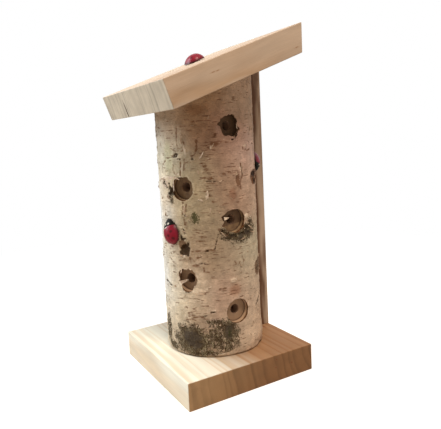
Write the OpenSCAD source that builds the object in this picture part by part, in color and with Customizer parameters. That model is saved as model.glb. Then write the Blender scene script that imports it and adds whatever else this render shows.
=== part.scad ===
// A drilled birch log that stands on a square pine board under a sloping pine roof, with a
// square batten let into its back and three painted wooden ladybirds glued on.
// +Z is up, -Y is the front, where the roof is low, and +X is the right side seen from the front.
// The origin is the centre of the base board's underside.

/* [Base board] */
// Width of the base board, from left to right
base_w = 150; // [130:1:200]
// Depth of the base board, from front to back
base_d = 150; // [140:1:200]
// Thickness of the base board
base_t = 28; // [20:1:40]

/* [Log] */
// Diameter of the log over its bark
log_d = 103.4; // [90:0.1:120]
// Height of the log at its axis, from the base board to the roof
log_h = 276.7; // [270:0.1:330]
// Thickness of the bark
bark_t = 2.5; // [1.5:0.1:4]

/* [Drilled holes] */
// Diameter of each hole's wide mouth
hole_d = 25; // [16:0.5:28]
// Depth of the wide mouth, from the bark to its flat end
hole_depth = 8; // [5:0.5:14]
// Diameter of the narrow bore beyond the flat end
bore_d = 10; // [4:0.5:12]
// Length of the narrow bore beyond the flat end
bore_len = 14; // [6:0.5:18]
// Height of the lowest hole above the base board
hole_low = 46.3; // [42:0.1:60]
// Height from one hole to the next one above it in a column
hole_pitch = 94.3; // [80:0.1:96]
// How much higher the columns of two start than the columns of three
stagger = 35; // [30:0.5:48]

/* [Back batten] */
// Width of the batten
batten_w = 28; // [20:1:36]
// Distance of the batten's middle from the log's axis, to the left
batten_left = 12; // [0:0.5:16]
// Depth to which the batten is let into the log
seat_depth = 4.7; // [3.5:0.1:8]
// Clearance at the side of the cut that the batten is let into
seat_gap = 0.2; // [0.1:0.05:0.5]

/* [Roof board] */
// Width of the roof board, from left to right
roof_w = 158; // [130:1:200]
// Length of the roof board's underside, along its slope
roof_len = 154.5; // [145:0.5:190]
// Thickness of the roof board
roof_t = 27.5; // [20:0.5:35]
// Slope of the roof in degrees, high at the back
roof_pitch = 20; // [10:0.5:25]
// How far the roof's lower back edge stops short of the base board's back edge
roof_inset = 4.7; // [0:0.1:10]

/* [Screws] */
// Diameter of every screw's shank
screw_d = 4; // [3:0.5:5]
// Diameter of every screw's countersunk head
screw_head_d = 8; // [6:0.5:10]
// Length of the screws that come up through the base board
base_screw_len = 50; // [45:1:60]
// Length of the screws that go down through the roof board
roof_screw_len = 60; // [50:1:70]
// Length of the screws that go in through the batten
back_screw_len = 45; // [40:1:55]
// Depth of a screw's head below the face that it is driven into
screw_sink = 0.5; // [0:0.1:1.5]
// Clearance all round a screw in its hole
screw_fit = 0.1; // [0.05:0.05:0.3]
// Distance of the log's screws from the log's middle, to the left and to the right
screw_out = 22; // [14:1:24]
// Distance of the roof's front screws in front of the log's axis, along the slope
roof_screw_front = 16; // [0:1:25]
// Height of the batten's lower screw above the base board
back_screw_low = 60; // [40:1:90]
// Height of the batten's upper screw above the base board
back_screw_high = 215; // [160:1:230]

/* [Ladybirds] */
// Length of the egg shape that a ladybird is cut from
bug_len = 28.5; // [20:0.5:34]
// Width of a ladybird
bug_w = 21.3; // [15:0.1:23]
// Height of a ladybird above its flat back
bug_h = 7.8; // [5:0.1:9]
// How much a ladybird narrows towards its head, as a share of its width
bug_taper = 0.2; // [0:0.01:0.3]
// Diameter of the round glue pad under a ladybird
pad_d = 13; // [8:0.5:14]
// Thickness of the glue pad at its middle
pad_t = 0.7; // [0.6:0.1:2]

/* [Hidden] */
$fn = 96;
log_fn = 240;
// Angles round the log are counted from the front towards the right.
right_column = 90;
front_right_column = 31;
front_left_column = -38;
left_column = -95;
// Each ladybird on the log has its angle, its height above the base board and its turn,
// counted anticlockwise from head up as seen by someone who faces it.
front_bug = [12, 130.5, 18];
side_bug = [158, 194.5, 120];
// The ladybird on the roof has its place across and along the slope, and its turn.
roof_bug = [-8, 6, 92];
// How far down the slope the roof's back screw stands from above the batten's middle.
roof_screw_shift = 5;
egg_steps = 20;
log_r = log_d / 2;
log_top = base_t + log_h;
batten_front = log_r - seat_depth;
batten_d = base_d / 2 - batten_front;
batten_mid_y = batten_front + batten_d / 2;
roof_back = (base_d / 2 - roof_inset) / cos(roof_pitch);
roof_front = roof_back - roof_len;
roof_screw_back = batten_mid_y / cos(roof_pitch) - roof_screw_shift;
head_h = (screw_head_d - screw_d) / 2;
point_h = screw_d;
bug_r = (bug_w * bug_w / 4 + bug_h * bug_h) / (2 * bug_h);
beyond = 5;

// Places things in the roof's own frame: X across, Y up the slope, Z out of the underside's plane.
module on_slope() {
    translate([0, 0, log_top]) rotate([roof_pitch, 0, 0]) children();
}

// Everything above the plane that the log and the batten are sawn off at.
module above_slope() {
    on_slope() translate([-base_w, -2 * base_d, 0]) cube([2 * base_w, 4 * base_d, 2 * log_h]);
}

// Turns +X to an angle round the log, at a height above the base board.
module at_angle(angle, height) {
    rotate([0, 0, angle - 90]) translate([0, 0, base_t + height]) children();
}

// One stepped hole along +X: a wide mouth with a flat end, and a narrow bore beyond it.
module stepped_hole() {
    translate([log_r - hole_depth, 0, 0]) rotate([0, 90, 0]) cylinder(d = hole_d, h = hole_depth + beyond);
    translate([log_r - hole_depth - bore_len, 0, 0]) rotate([0, 90, 0]) cylinder(d = bore_d, h = bore_len + beyond);
}

// A column of holes above each other.
module hole_column(angle, first, count) {
    for (i = [0 : count - 1]) at_angle(angle, first + i * hole_pitch) stepped_hole();
}

module drilled_holes() {
    hole_column(right_column, hole_low, 3);
    hole_column(front_left_column, hole_low, 3);
    hole_column(front_right_column, hole_low + stagger, 2);
    hole_column(left_column, hole_low + stagger, 2);
}

// The cut in the back of the log that the batten is let into.
module batten_seat() {
    translate([-batten_left - batten_w / 2 - seat_gap, batten_front, 0])
        cube([batten_w + 2 * seat_gap, base_d, 2 * log_top]);
}

// A countersunk screw with its head's flat top at the origin and its point towards +Z.
module screw(length, grow = 0) {
    r = screw_d / 2 + grow;
    translate([0, 0, -grow]) cylinder(r1 = screw_head_d / 2 + grow, r2 = r, h = head_h + grow);
    cylinder(r = r, h = length - point_h);
    translate([0, 0, length - point_h]) cylinder(r1 = r, r2 = 0.1 + grow, h = point_h + grow);
}

// The hole for one screw, with room above the sunk head.
module screw_hole(length) {
    screw(length, screw_fit);
    translate([0, 0, -screw_sink - beyond]) cylinder(r = screw_head_d / 2 + screw_fit, h = screw_sink + beyond);
}

// Places each screw, or each screw's hole, with its head's top at the right depth.
module at_base_screws() {
    for (x = [-screw_out, screw_out]) translate([x, 0, screw_sink]) children();
    translate([-batten_left, batten_mid_y, screw_sink]) children();
}

module at_roof_screws() {
    for (x = [-screw_out, screw_out])
        on_slope() translate([x, -roof_screw_front, roof_t - screw_sink]) rotate([180, 0, 0]) children();
    on_slope() translate([-batten_left, roof_screw_back, roof_t - screw_sink]) rotate([180, 0, 0]) children();
}

module at_back_screws() {
    for (height = [back_screw_low, back_screw_high])
        translate([-batten_left, base_d / 2 - screw_sink, base_t + height]) rotate([90, 0, 0]) children();
}

module screw_holes() {
    at_base_screws() screw_hole(base_screw_len);
    at_roof_screws() screw_hole(roof_screw_len);
    at_back_screws() screw_hole(back_screw_len);
}

// Distance of the egg's outline from its long axis, where t runs from 0 at the head to 180 at the tail.
function egg_r(t) = bug_r * sin(t) * (1 - bug_taper * cos(t));

// A ladybird with its flat back on the plane Z = 0 and its head towards +Y.
module ladybird() {
    intersection() {
        translate([0, 0, bug_h - bug_r]) rotate([-90, 0, 0]) rotate_extrude()
            polygon([for (i = [0 : egg_steps])
                let (t = 180 * i / egg_steps) [max(0, egg_r(t)), bug_len / 2 * cos(t)]]);
        translate([-bug_w, -bug_len, 0]) cube([2 * bug_w, 2 * bug_len, 2 * bug_h]);
    }
}

// Stands something on the log: X to the right, Y up and Z outwards, as seen by someone who faces it.
module on_log(place) {
    at_angle(place[0], place[1]) translate([log_r, 0, 0]) rotate([90, 0, 90]) rotate([0, 0, place[2]]) children();
}

module on_roof(place) {
    on_slope() translate([place[0], place[1], roof_t]) rotate([0, 0, place[2]]) children();
}

// A round pad of glue that fills the space between the round log and a flat back.
module log_pad(place) {
    difference() {
        on_log(place) translate([0, 0, -beyond]) cylinder(d = pad_d, h = pad_t + beyond);
        cylinder(r = log_r, h = 2 * log_top, $fn = log_fn);
    }
}

module base_board() {
    color("burlywood") difference() {
        translate([-base_w / 2, -base_d / 2, 0]) cube([base_w, base_d, base_t]);
        screw_holes();
    }
}

module log_core() {
    color("wheat") difference() {
        translate([0, 0, base_t]) cylinder(r = log_r - bark_t, h = log_h + log_d, $fn = log_fn);
        above_slope();
        batten_seat();
        drilled_holes();
        screw_holes();
    }
}

module birch_bark() {
    color("antiquewhite") difference() {
        translate([0, 0, base_t]) cylinder(r = log_r, h = log_h + log_d, $fn = log_fn);
        cylinder(r = log_r - bark_t, h = 2 * log_top, $fn = log_fn);
        above_slope();
        batten_seat();
        drilled_holes();
    }
}

module back_batten() {
    color("tan") difference() {
        translate([-batten_left - batten_w / 2, batten_front, base_t]) cube([batten_w, batten_d, log_h + log_d]);
        above_slope();
        screw_holes();
    }
}

module roof_board() {
    color("burlywood") difference() {
        on_slope() translate([-roof_w / 2, 0, 0]) rotate([90, 0, 90]) linear_extrude(height = roof_w)
            polygon([[roof_front, 0], [roof_back, 0],
                     [roof_back + roof_t * tan(roof_pitch), roof_t], [roof_front, roof_t]]);
        screw_holes();
    }
}

module base_screws() {
    color("silver") at_base_screws() screw(base_screw_len);
}

module roof_screws() {
    color("silver") at_roof_screws() screw(roof_screw_len);
}

module back_screws() {
    color("silver") at_back_screws() screw(back_screw_len);
}

module ladybird_front() {
    color("crimson") on_log(front_bug) translate([0, 0, pad_t]) ladybird();
}

module ladybird_side() {
    color("crimson") on_log(side_bug) translate([0, 0, pad_t]) ladybird();
}

module ladybird_roof() {
    color("crimson") on_roof(roof_bug) translate([0, 0, pad_t]) ladybird();
}

module glue_pad_front() {
    color("ivory") log_pad(front_bug);
}

module glue_pad_side() {
    color("ivory") log_pad(side_bug);
}

module glue_pad_roof() {
    color("ivory") on_roof(roof_bug) cylinder(d = pad_d, h = pad_t);
}

base_board();
log_core();
birch_bark();
back_batten();
roof_board();
base_screws();
roof_screws();
back_screws();
ladybird_front();
ladybird_side();
ladybird_roof();
glue_pad_front();
glue_pad_side();
glue_pad_roof();
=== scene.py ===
# %% [markdown]
# A drilled birch log that stands on a planed pine board, under a sloping pine roof, with three painted
# wooden ladybirds glued on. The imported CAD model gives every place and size. This file dresses it: the
# bark becomes an uneven skin with torn rims, the boards get eased edges, growth rings and a drying crack,
# and the ladybirds get their paint. Lengths are in millimetres until a mesh is made.

import math

import bmesh
import bpy
import numpy as np
from mathutils import Euler, Matrix, Vector


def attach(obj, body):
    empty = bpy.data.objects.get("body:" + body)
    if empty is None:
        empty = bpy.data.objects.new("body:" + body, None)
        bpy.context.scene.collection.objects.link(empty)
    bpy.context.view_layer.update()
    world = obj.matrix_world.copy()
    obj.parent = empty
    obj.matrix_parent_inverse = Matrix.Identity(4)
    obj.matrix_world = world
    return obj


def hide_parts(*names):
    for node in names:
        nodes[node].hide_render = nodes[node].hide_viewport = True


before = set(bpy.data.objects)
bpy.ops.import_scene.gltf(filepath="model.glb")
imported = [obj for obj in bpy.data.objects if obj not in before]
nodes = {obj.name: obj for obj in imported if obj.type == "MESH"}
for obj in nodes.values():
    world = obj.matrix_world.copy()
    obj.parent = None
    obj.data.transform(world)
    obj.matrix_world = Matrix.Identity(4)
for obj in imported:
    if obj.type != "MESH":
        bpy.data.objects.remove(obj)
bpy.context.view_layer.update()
print("CAD nodes:", ", ".join(sorted(nodes)))

# %% [markdown]
# The camera stands where the photograph was taken from: to the right of the front and just above the
# log's middle. The picture was cropped, so the point straight ahead of the lens is left of and above its
# middle, which is what the lens shift says. The camera's three axes are built from the angles by hand.
# The eye is in millimetres, and the focal length, the point ahead and the picture's size are in pixels.

# %% Camera
EYE = np.array([452.0, -265.0, 252.0])
AZIMUTH, ELEVATION, ROLL = np.radians([61.8, 6.4, 3.14])
FOCAL, AHEAD, PICTURE = 483.0, (189.0, 193.0), (441.0, 429.0)
SENSOR = 36.0


def placed(name, data):
    """A new object for a camera, a lamp or a mesh, linked to the scene."""
    thing = bpy.data.objects.new(name, data)
    bpy.context.scene.collection.objects.link(thing)
    return thing


behind = np.array([math.sin(AZIMUTH) * math.cos(ELEVATION), -math.cos(AZIMUTH) * math.cos(ELEVATION),
                   math.sin(ELEVATION)])
right = np.cross(-behind, (0, 0, 1))
right /= np.linalg.norm(right)
up = np.cross(right, -behind)
rolled_right = math.cos(ROLL) * right - math.sin(ROLL) * up
rolled_up = math.sin(ROLL) * right + math.cos(ROLL) * up

camera_data = bpy.data.cameras.new("camera")
camera_data.sensor_fit = "HORIZONTAL"
camera_data.sensor_width = SENSOR
camera_data.lens = SENSOR * FOCAL / PICTURE[0]
camera_data.shift_x = (PICTURE[0] / 2 - AHEAD[0]) / PICTURE[0]
camera_data.shift_y = (AHEAD[1] - PICTURE[1] / 2) / PICTURE[0]
camera_data.clip_start = 0.01
camera = placed("camera", camera_data)
turn = Matrix(np.column_stack([rolled_right, rolled_up, behind]).tolist()).to_4x4()
camera.matrix_world = Matrix.Translation(Vector(EYE / 1000)) @ turn
bpy.context.scene.camera = camera
bpy.context.scene.view_settings.view_transform = "Standard"
print("lens %.1f mm" % camera_data.lens)

# %% [markdown]
# Materials are made of nodes, and one small function adds a node of any kind, sets it and links it. A
# node hides the sockets that its settings leave idle, so inputs in order fill the ones in use: a Mix of
# colours takes the factor, the first colour and the second. Colours are written as sRGB hex, as a paint
# program shows them, and turned to the linear values that light adds in.

# %% Colours and nodes
SOFT = {"interpolation_type": "SMOOTHSTEP"}
RGB = {"data_type": "RGBA"}


def linear(hex_colour):
    """Each channel c of the sRGB hex becomes c / 12.92 near black and ((c + 0.055) / 1.055) ^ 2.4 above."""
    srgb = np.array([int(hex_colour[i:i + 2], 16) for i in (1, 3, 5)]) / 255
    channels = np.where(srgb <= 0.04045, srgb / 12.92, ((srgb + 0.055) / 1.055) ** 2.4)
    return (*channels.tolist(), 1.0)


def add(tree, kind, inputs=(), **settings):
    """Adds a node. inputs are in the order of the sockets in use, or in a dict by the sockets' names. Each
    is a value, an output to link, or a node, whose first output in use is linked."""
    node = tree.nodes.new("ShaderNode" + kind)
    for name, value in settings.items():
        setattr(node, name, value)
    if isinstance(inputs, dict):
        pairs = [(node.inputs[name], value) for name, value in inputs.items()]
    else:
        pairs = zip([socket for socket in node.inputs if socket.enabled], inputs)
    for socket, value in pairs:
        if isinstance(value, bpy.types.Node):
            value = next(output for output in value.outputs if output.enabled)
        if isinstance(value, bpy.types.NodeSocket):
            tree.links.new(value, socket)
        else:
            socket.default_value = value
    return node


def new_material(name):
    """An empty node material, and its tree to work on."""
    material = bpy.data.materials.new(name)
    material.use_nodes = True
    material.node_tree.nodes.clear()
    return material, material.node_tree


# %% [markdown]
# The light is that of a pale room by day: a large window lights the front and the left, and the rest of
# the room sends back a weaker, warmer light from above on the right and from all round. Where the camera,
# or a ray that glances off something shiny, sees the room, it looks white.

# %% Light
LAMPS_AIM_AT = Vector((0, 0, 0.16))


def lamp(name, azimuth, elevation, distance, size, watts, colour):
    """A square lamp that faces the log's middle from an angle round the object, counted from the front."""
    data = bpy.data.lights.new(name, "AREA")
    data.size = size
    data.energy = watts
    data.color = linear(colour)[:3]
    a, e = math.radians(azimuth), math.radians(elevation)
    away = Vector((math.sin(a) * math.cos(e), -math.cos(a) * math.cos(e), math.sin(e)))
    facing = away.to_track_quat("Z", "Y").to_matrix().to_4x4()
    placed(name, data).matrix_world = Matrix.Translation(LAMPS_AIM_AT + away * distance) @ facing


lamp("window", -38, 31, 1.5, 1.0, 23.4, "#edf5ff")
lamp("skylight", 82, 62, 1.8, 0.5, 24.5, "#fff0e0")

world = bpy.data.worlds.new("room light")
bpy.context.scene.world = world
world.use_nodes = True
tree = world.node_tree
tree.nodes.clear()
ray = add(tree, "LightPath").outputs
seen = add(tree, "Math", (ray["Is Camera Ray"], ray["Is Glossy Ray"]), operation="MAXIMUM")
seen = add(tree, "Math", (seen, ray["Is Transmission Ray"]), operation="MAXIMUM")
room = add(tree, "Background", {"Color": linear("#ffead6"), "Strength": 0.33})
white = add(tree, "Background", {"Color": (1, 1, 1, 1), "Strength": 1.0})
add(tree, "OutputWorld", {"Surface": add(tree, "MixShader", (seen, room, white))})
print("lamps:", len(bpy.data.lights))

# %% [markdown]
# The floor is plain matt paint. It lights the object with its own pale colour, but to the camera it glows
# a little, and more with distance from the object, until it can't be told from the white room. The
# object's shadow stays, since the glow is added to the light that falls on the floor.

# %% Floor
FLOOR_HALF, WHITE_FROM, WHITE_BY = 6, 0.2, 0.8
corners = [(x * FLOOR_HALF, y * FLOOR_HALF, 0) for x, y in ((-1, -1), (1, -1), (1, 1), (-1, 1))]
floor_mesh = bpy.data.meshes.new("floor")
floor_mesh.from_pydata(corners, [], [(0, 1, 2, 3)])
floor = placed("floor", floor_mesh)

floor_paint, tree = new_material("matt white floor")
away = add(tree, "VectorMath", (add(tree, "TexCoord").outputs["Object"],), operation="LENGTH")
far = add(tree, "MapRange", (away, WHITE_FROM, WHITE_BY), **SOFT)
paint = add(tree, "BsdfDiffuse", {"Color": linear("#cfc8c0")})
glow = add(tree, "Emission", {"Color": (1, 1, 1, 1), "Strength": 0.7})
white = add(tree, "Emission", {"Color": (1, 1, 1, 1), "Strength": 1.0})
faded = add(tree, "MixShader", (far, add(tree, "AddShader", (paint, glow)), white))
both = add(tree, "MixShader", (add(tree, "LightPath").outputs["Is Camera Ray"], paint, faded))
add(tree, "OutputMaterial", {"Surface": both})
floor_mesh.materials.append(floor_paint)
print("floor: white from %.1f m" % WHITE_BY)

# %% [markdown]
# The boards are planed pine. Growth rings are tubes round the pith, so every face of a board is a cut
# through the same set of tubes: long lines where the cut runs along the tree, and arcs on the sawn ends.
# The pattern is worked out from the distance to the pith's line, bent a little by noise, and that is why
# it fits all six faces. A ring is pale where it grew in spring and ends in a thin, orange late line. A
# knot is a branch's foot, and the rings swerve round it.

# %% Growth rings
SWAY, FIBRE, CLOUD = (160, 34, 2.0, 0.5), (28, 0.7, 3.0, 0.6), (70, 15, 2.0, 0.5)


def grown_rings(tree, grain, turn, pith, ring, knots):
    """Adds a board's pattern on the grain's coordinates, and returns its late wood, its nearness to a knot,
    and the noises for fibres and clouds. The year is the fraction of: distance to the pith over the ring
    width, plus noise. Each noise is (length along the grain, length across it in mm, detail, roughness)."""
    noises = []
    for along, across, detail, roughness in (SWAY, FIBRE, CLOUD):
        scaled = add(tree, "VectorMath", (grain, (1 / along, 1 / across, 1 / across)), operation="MULTIPLY")
        noises.append(add(tree, "TexNoise", {"Vector": scaled, "Scale": 1.0, "Detail": detail,
                                             "Roughness": roughness}))
    sway, fibre, cloud = noises

    near = 0.0
    for x, y, z, radius, stretch in knots:
        middle = Euler(turn).to_matrix() @ Vector((x, y, z))
        offset = add(tree, "VectorMath", (grain, tuple(middle)), operation="SUBTRACT")
        offset = add(tree, "VectorMath", (offset, (1 / stretch, 1, 1)), operation="MULTIPLY")
        away = add(tree, "VectorMath", (offset,), operation="LENGTH")
        inside = add(tree, "MapRange", (away, 0.0, radius, 1.0, 0.0))
        near = add(tree, "Math", (near, inside), operation="MAXIMUM")

    shift = add(tree, "VectorMath", (sway.outputs["Color"], (0.5, 0.5, 0.5)), operation="SUBTRACT")
    shift = add(tree, "VectorMath", (shift, (0, 9, 9)), operation="MULTIPLY")
    across = add(tree, "VectorMath", (grain, shift), operation="ADD")
    across = add(tree, "VectorMath", (across, (0, *pith)), operation="SUBTRACT")
    across = add(tree, "VectorMath", (across, (0, 1, 1)), operation="MULTIPLY")
    out = add(tree, "VectorMath", (across,), operation="LENGTH")
    out = add(tree, "Math", (near, 1.3 * ring, out), operation="MULTIPLY_ADD")
    count = add(tree, "Math", (out, 1 / ring), operation="MULTIPLY")
    wander = add(tree, "TexNoise", {"W": count, "Scale": 0.45, "Detail": 1.0}, noise_dimensions="1D")
    count = add(tree, "Math", (wander, 2.6, count), operation="MULTIPLY_ADD")
    year = add(tree, "Math", (count,), operation="FRACT")
    darkens = add(tree, "MapRange", (year, 0.25, 0.88), **SOFT)
    ends = add(tree, "MapRange", (year, 0.90, 1.0, 1.0, 0.0))
    late = add(tree, "Math", (darkens, ends), operation="MULTIPLY")
    strength = add(tree, "TexNoise", {"W": count, "Scale": 0.9, "Detail": 0.0}, noise_dimensions="1D")
    strength = add(tree, "MapRange", (strength, 0.3, 0.7, 0.2, 0.9))
    late = add(tree, "Math", (late, strength), operation="MULTIPLY")
    return late, near, fibre, cloud


# %% [markdown]
# Bare planed pine has a dull sheen, a little stronger along its fibres. Its sawn ends soak up dirt and
# light, so they look greyer or browner. A band across each board is darker: partly heartwood, and partly
# painted shade where the board lies behind or beside the log. Knots are dense and brown.

# %% Pine
def pine(name, turn, pith, ring, tones, knots, heart_and_shade):
    """Planed pine. turn lays the grain along X, pith is the two other coordinates of the pith's line in mm,
    ring the mean ring width in mm, tones the spring, late, end-grain and knot colours.
    A knot is (x, y, z, radius, stretch along the grain) in mm. heart_and_shade is (from, to, tint, share):
    between those places across the board the colour is multiplied by the tint, and by that share of it on the
    sawn ends. This is partly heartwood and partly painted shade: on the batten it darkens the strip by the
    log, and on the base the back behind the log."""
    material, tree = new_material(name)
    place = add(tree, "TexCoord").outputs
    millimetres = add(tree, "VectorMath", (place["Object"], 1000.0), operation="SCALE")
    grain = add(tree, "Mapping", {"Vector": millimetres, "Rotation": turn})
    facing = add(tree, "Mapping", {"Vector": place["Normal"], "Rotation": turn}, vector_type="NORMAL")
    late, near, fibre, cloud = grown_rings(tree, grain, turn, pith, ring, knots)

    spring, autumn, sawn, knot = (linear(tone) for tone in tones)
    low, high, tint, on_ends = heart_and_shade
    tint = linear(tint)[:3]
    colour = add(tree, "Mix", (late, spring, autumn), **RGB)
    old = add(tree, "Math", (cloud, 30.0, add(tree, "SeparateXYZ", (grain,)).outputs["Y"]),
              operation="MULTIPLY_ADD")
    old = add(tree, "MapRange", (old, low + 15, high + 15), **SOFT)
    # the band across the board: heartwood, and painted shade where a board lies by the log
    heart_and_shade_colour = add(tree, "VectorMath", (colour, tint), operation="MULTIPLY")
    colour = add(tree, "Mix", (old, colour, heart_and_shade_colour), **RGB)
    soak = add(tree, "Math", (late, -0.3, 1.0), operation="MULTIPLY_ADD")
    soaked = add(tree, "VectorMath", (sawn[:3], soak), operation="SCALE")
    end_tint = [1 - on_ends + on_ends * part for part in tint]
    darker = add(tree, "VectorMath", (soaked, end_tint), operation="MULTIPLY")
    soaked = add(tree, "Mix", (old, soaked, darker), **RGB)
    end = add(tree, "Math", (add(tree, "SeparateXYZ", (facing,)).outputs["X"],), operation="ABSOLUTE")
    end = add(tree, "MapRange", (end, 0.5, 0.95))
    colour = add(tree, "Mix", (end, colour, soaked), **RGB)
    for noise, low, high in ((fibre, 0.93, 1.05), (cloud, 0.88, 1.08)):
        shade = add(tree, "MapRange", (noise, 0.3, 0.7, low, high))
        colour = add(tree, "VectorMath", (colour, shade), operation="SCALE")
    dense = add(tree, "Math", (fibre, 0.5, near), operation="MULTIPLY_ADD")
    dense = add(tree, "MapRange", (dense, 0.55, 0.95, 0.0, 0.75))
    colour = add(tree, "Mix", (dense, colour, knot), **RGB)

    height = add(tree, "Math", (late, 0.5, fibre), operation="MULTIPLY_ADD")
    bump = add(tree, "Bump", {"Strength": 0.5, "Distance": 0.00025, "Height": height})
    rough = add(tree, "MapRange", (fibre, 0.3, 0.7, 0.55, 0.7))
    shader = add(tree, "BsdfPrincipled", {"Base Color": colour, "Roughness": rough, "IOR": 1.5,
                                          "Specular IOR Level": 0.3, "Normal": bump})
    add(tree, "OutputMaterial", {"Surface": shader})
    print("%s: rings of %.1f mm, %d knots" % (name, ring, len(knots)))
    return material


SLOPE = math.radians(20)
# the base's darker band at the back, behind the log, is partly heartwood and partly painted shade
base_pine = pine(
    "planed pine, base", (0, 0, 0), (124, 36), 9.5, ("#f0eedc", "#dcc6a4", "#a6855f", "#7c3f28"),
    [(75, 27.7, 23.5, 1.6, 2), (75, 26.8, 15.2, 1.4, 2), (75, 47.3, 14.7, 1.6, 2), (7.8, 62.9, 28, 2.5, 3)],
    (-64, 24, "#b18a6e", 0.6))
roof_pine = pine(
    "planed pine, roof", (-SLOPE, 0, -math.pi / 2), (260, 315), 7.5,
    ("#d2c2ae", "#c2a88a", "#bfb49f", "#8c6040"),
    [(79, -29.3, 311, 0.9, 5), (79, -33.9, 309.6, 0.9, 5), (79, 62.9, 334.9, 0.8, 5),
     (53.2, 57.0, 354.7, 3, 2)],
    (60, -90, "#e9e1dc", 0.0))
# the batten's darker strip next to the log is painted shade
batten_pine = pine(
    "planed pine, batten", (0, math.pi / 2, 0), (96, 46), 5.0, ("#b9a38e", "#9a806a", "#b0957a", "#7c5238"),
    [(2, 66, 266.3, 1.6, 2)], (72, 65, "#8c6d55", 0.6))

# %% [markdown]
# The roof's front end has split while it dried. The crack is a thin wedge, cut out of the board, and its
# walls are rough wood that hardly shines, painted dark brown as painted shade inside the crack. Its shape
# is given in the roof's own frame: across the board, along it and up from its underside.

# %% Drying crack
BASE_T, LOG_H = 28.0, 276.7
CRACK_X, CRACK_TOP, CRACK_HALF = -25.4, 19.5, 1.0
CRACK_FRONT, CRACK_BACK = -83.0, -62.0
LEVELS = 12

crack_shade_wood, tree = new_material("split wood, painted shade")
# painted shade in the crack, mottled in lumps of about 1.4 mm
place = add(tree, "TexCoord").outputs["Object"]
crack_mottle = add(tree, "TexNoise", {"Vector": place, "Scale": 700.0, "Detail": 2.0})
colour = add(tree, "Mix", (crack_mottle, linear("#2a211a"), linear("#4a3b2e")), **RGB)
shader = add(tree, "BsdfPrincipled", {"Base Color": colour, "Roughness": 0.85})
add(tree, "OutputMaterial", {"Surface": shader})
print("split wood: %d nodes" % len(tree.nodes))


def crack_wedge():
    """A wedge in the roof's front end: 1.7 mm wide on the end face and nothing 18 mm inside it. It narrows
    to its top with the power 0.7 of the height left, and its middle line bends by a small sine."""
    height = np.linspace(-2.0, CRACK_TOP, LEVELS)
    middle = CRACK_X + 0.08 * np.sin(height * 1.7) + 0.02 * height
    half = CRACK_HALF * np.clip((CRACK_TOP - height) / 14, 0.02, 1) ** 0.7
    across = np.concatenate([middle - half, (middle + half)[::-1], middle])
    along = np.repeat([CRACK_FRONT, CRACK_FRONT, CRACK_BACK], LEVELS)
    up = np.concatenate([height, height[::-1], height])
    c, s = math.cos(SLOPE), math.sin(SLOPE)
    turned = np.stack([across, c * along - s * up, BASE_T + LOG_H + s * along + c * up], 1) / 1000
    shape = bmesh.new()
    for point in turned:
        shape.verts.new(point)
    bmesh.ops.convex_hull(shape, input=shape.verts)
    mesh = bpy.data.meshes.new("crack")
    shape.to_mesh(mesh)
    shape.free()
    return placed("crack", mesh)


# %% [markdown]
# A board's edges were broken with a stroke of sandpaper, so light catches them. The CAD board has the
# right size and its screw holes, so a copy of it is merged, and only its long edges are bevelled.

# %% Boards
# the shortest edge that is eased and the bevel's width, in metres, and a sharp edge's least angle, in
# radians; the crack's walls are the faces near it that lie in front of the depth of -56 mm
LONG_EDGE, SHARP, EASE, CRACK_END = 0.02, 0.6, 0.0008, -56


def plank(name, node, material, cutter=None):
    """A copy of a CAD board with its long edges eased by 0.8 mm, and a crack cut out where one is given."""
    shape = bmesh.new()
    shape.from_mesh(nodes[node].data)
    bmesh.ops.remove_doubles(shape, verts=shape.verts, dist=2e-6)
    bmesh.ops.dissolve_limit(shape, angle_limit=math.radians(1), verts=shape.verts, edges=shape.edges)
    mesh = bpy.data.meshes.new(name)
    shape.to_mesh(mesh)
    shape.free()
    piece = placed(name, mesh)
    if cutter is not None:
        cut = piece.modifiers.new("crack", "BOOLEAN")
        cut.object = cutter
        cut.solver = "EXACT"
        mesh = bpy.data.meshes.new_from_object(piece.evaluated_get(bpy.context.evaluated_depsgraph_get()))
        piece.modifiers.clear()
        piece.data = mesh
        bpy.data.objects.remove(cutter)
    shape = bmesh.new()
    shape.from_mesh(mesh)
    weight = shape.edges.layers.float.new("bevel_weight_edge")
    long_edges = [edge for edge in shape.edges if edge.calc_length() > LONG_EDGE
                  and len(edge.link_faces) == 2 and edge.calc_face_angle() > SHARP]
    for edge in long_edges:
        edge[weight] = 1.0
    print("%s: %d long edges eased" % (name, len(long_edges)))
    shape.to_mesh(mesh)
    shape.free()
    mesh.materials.clear()
    mesh.materials.append(material)
    if cutter is not None:
        mesh.materials.append(crack_shade_wood)
        for face in mesh.polygons:
            x, y, z = face.center * 1000
            near = abs(x - CRACK_X) < CRACK_HALF and y < CRACK_END
            face.material_index = int(near and abs(face.normal.x) > 0.9)
    mesh.shade_flat()
    ease = piece.modifiers.new("eased edges", "BEVEL")
    ease.limit_method = "WEIGHT"
    ease.width = EASE
    ease.segments = 3
    ease.use_clamp_overlap = False
    ease.loop_slide = False
    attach(piece, "root")
    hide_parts(node)


plank("base_plank", "base_board", base_pine)
plank("batten_plank", "back_batten", batten_pine)
plank("roof_plank", "roof_board", roof_pine, crack_wedge())

# %% [markdown]
# The log's wood shows only inside the drilled holes. Its CAD solid has them all in the right place, so it
# stays, and gets a material: fresh birch is pale and even, and its fibres run up the log. It is dull where
# the drill tore them and has burnt spots, and the lowest holes are painted lighter, as painted light.

# %% Birch wood
birch_wood, tree = new_material("drilled birch wood")
place = add(tree, "VectorMath", (add(tree, "TexCoord").outputs["Object"], 1000.0), operation="SCALE")
sideways, backwards, level = add(tree, "SeparateXYZ", (place,)).outputs
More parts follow.
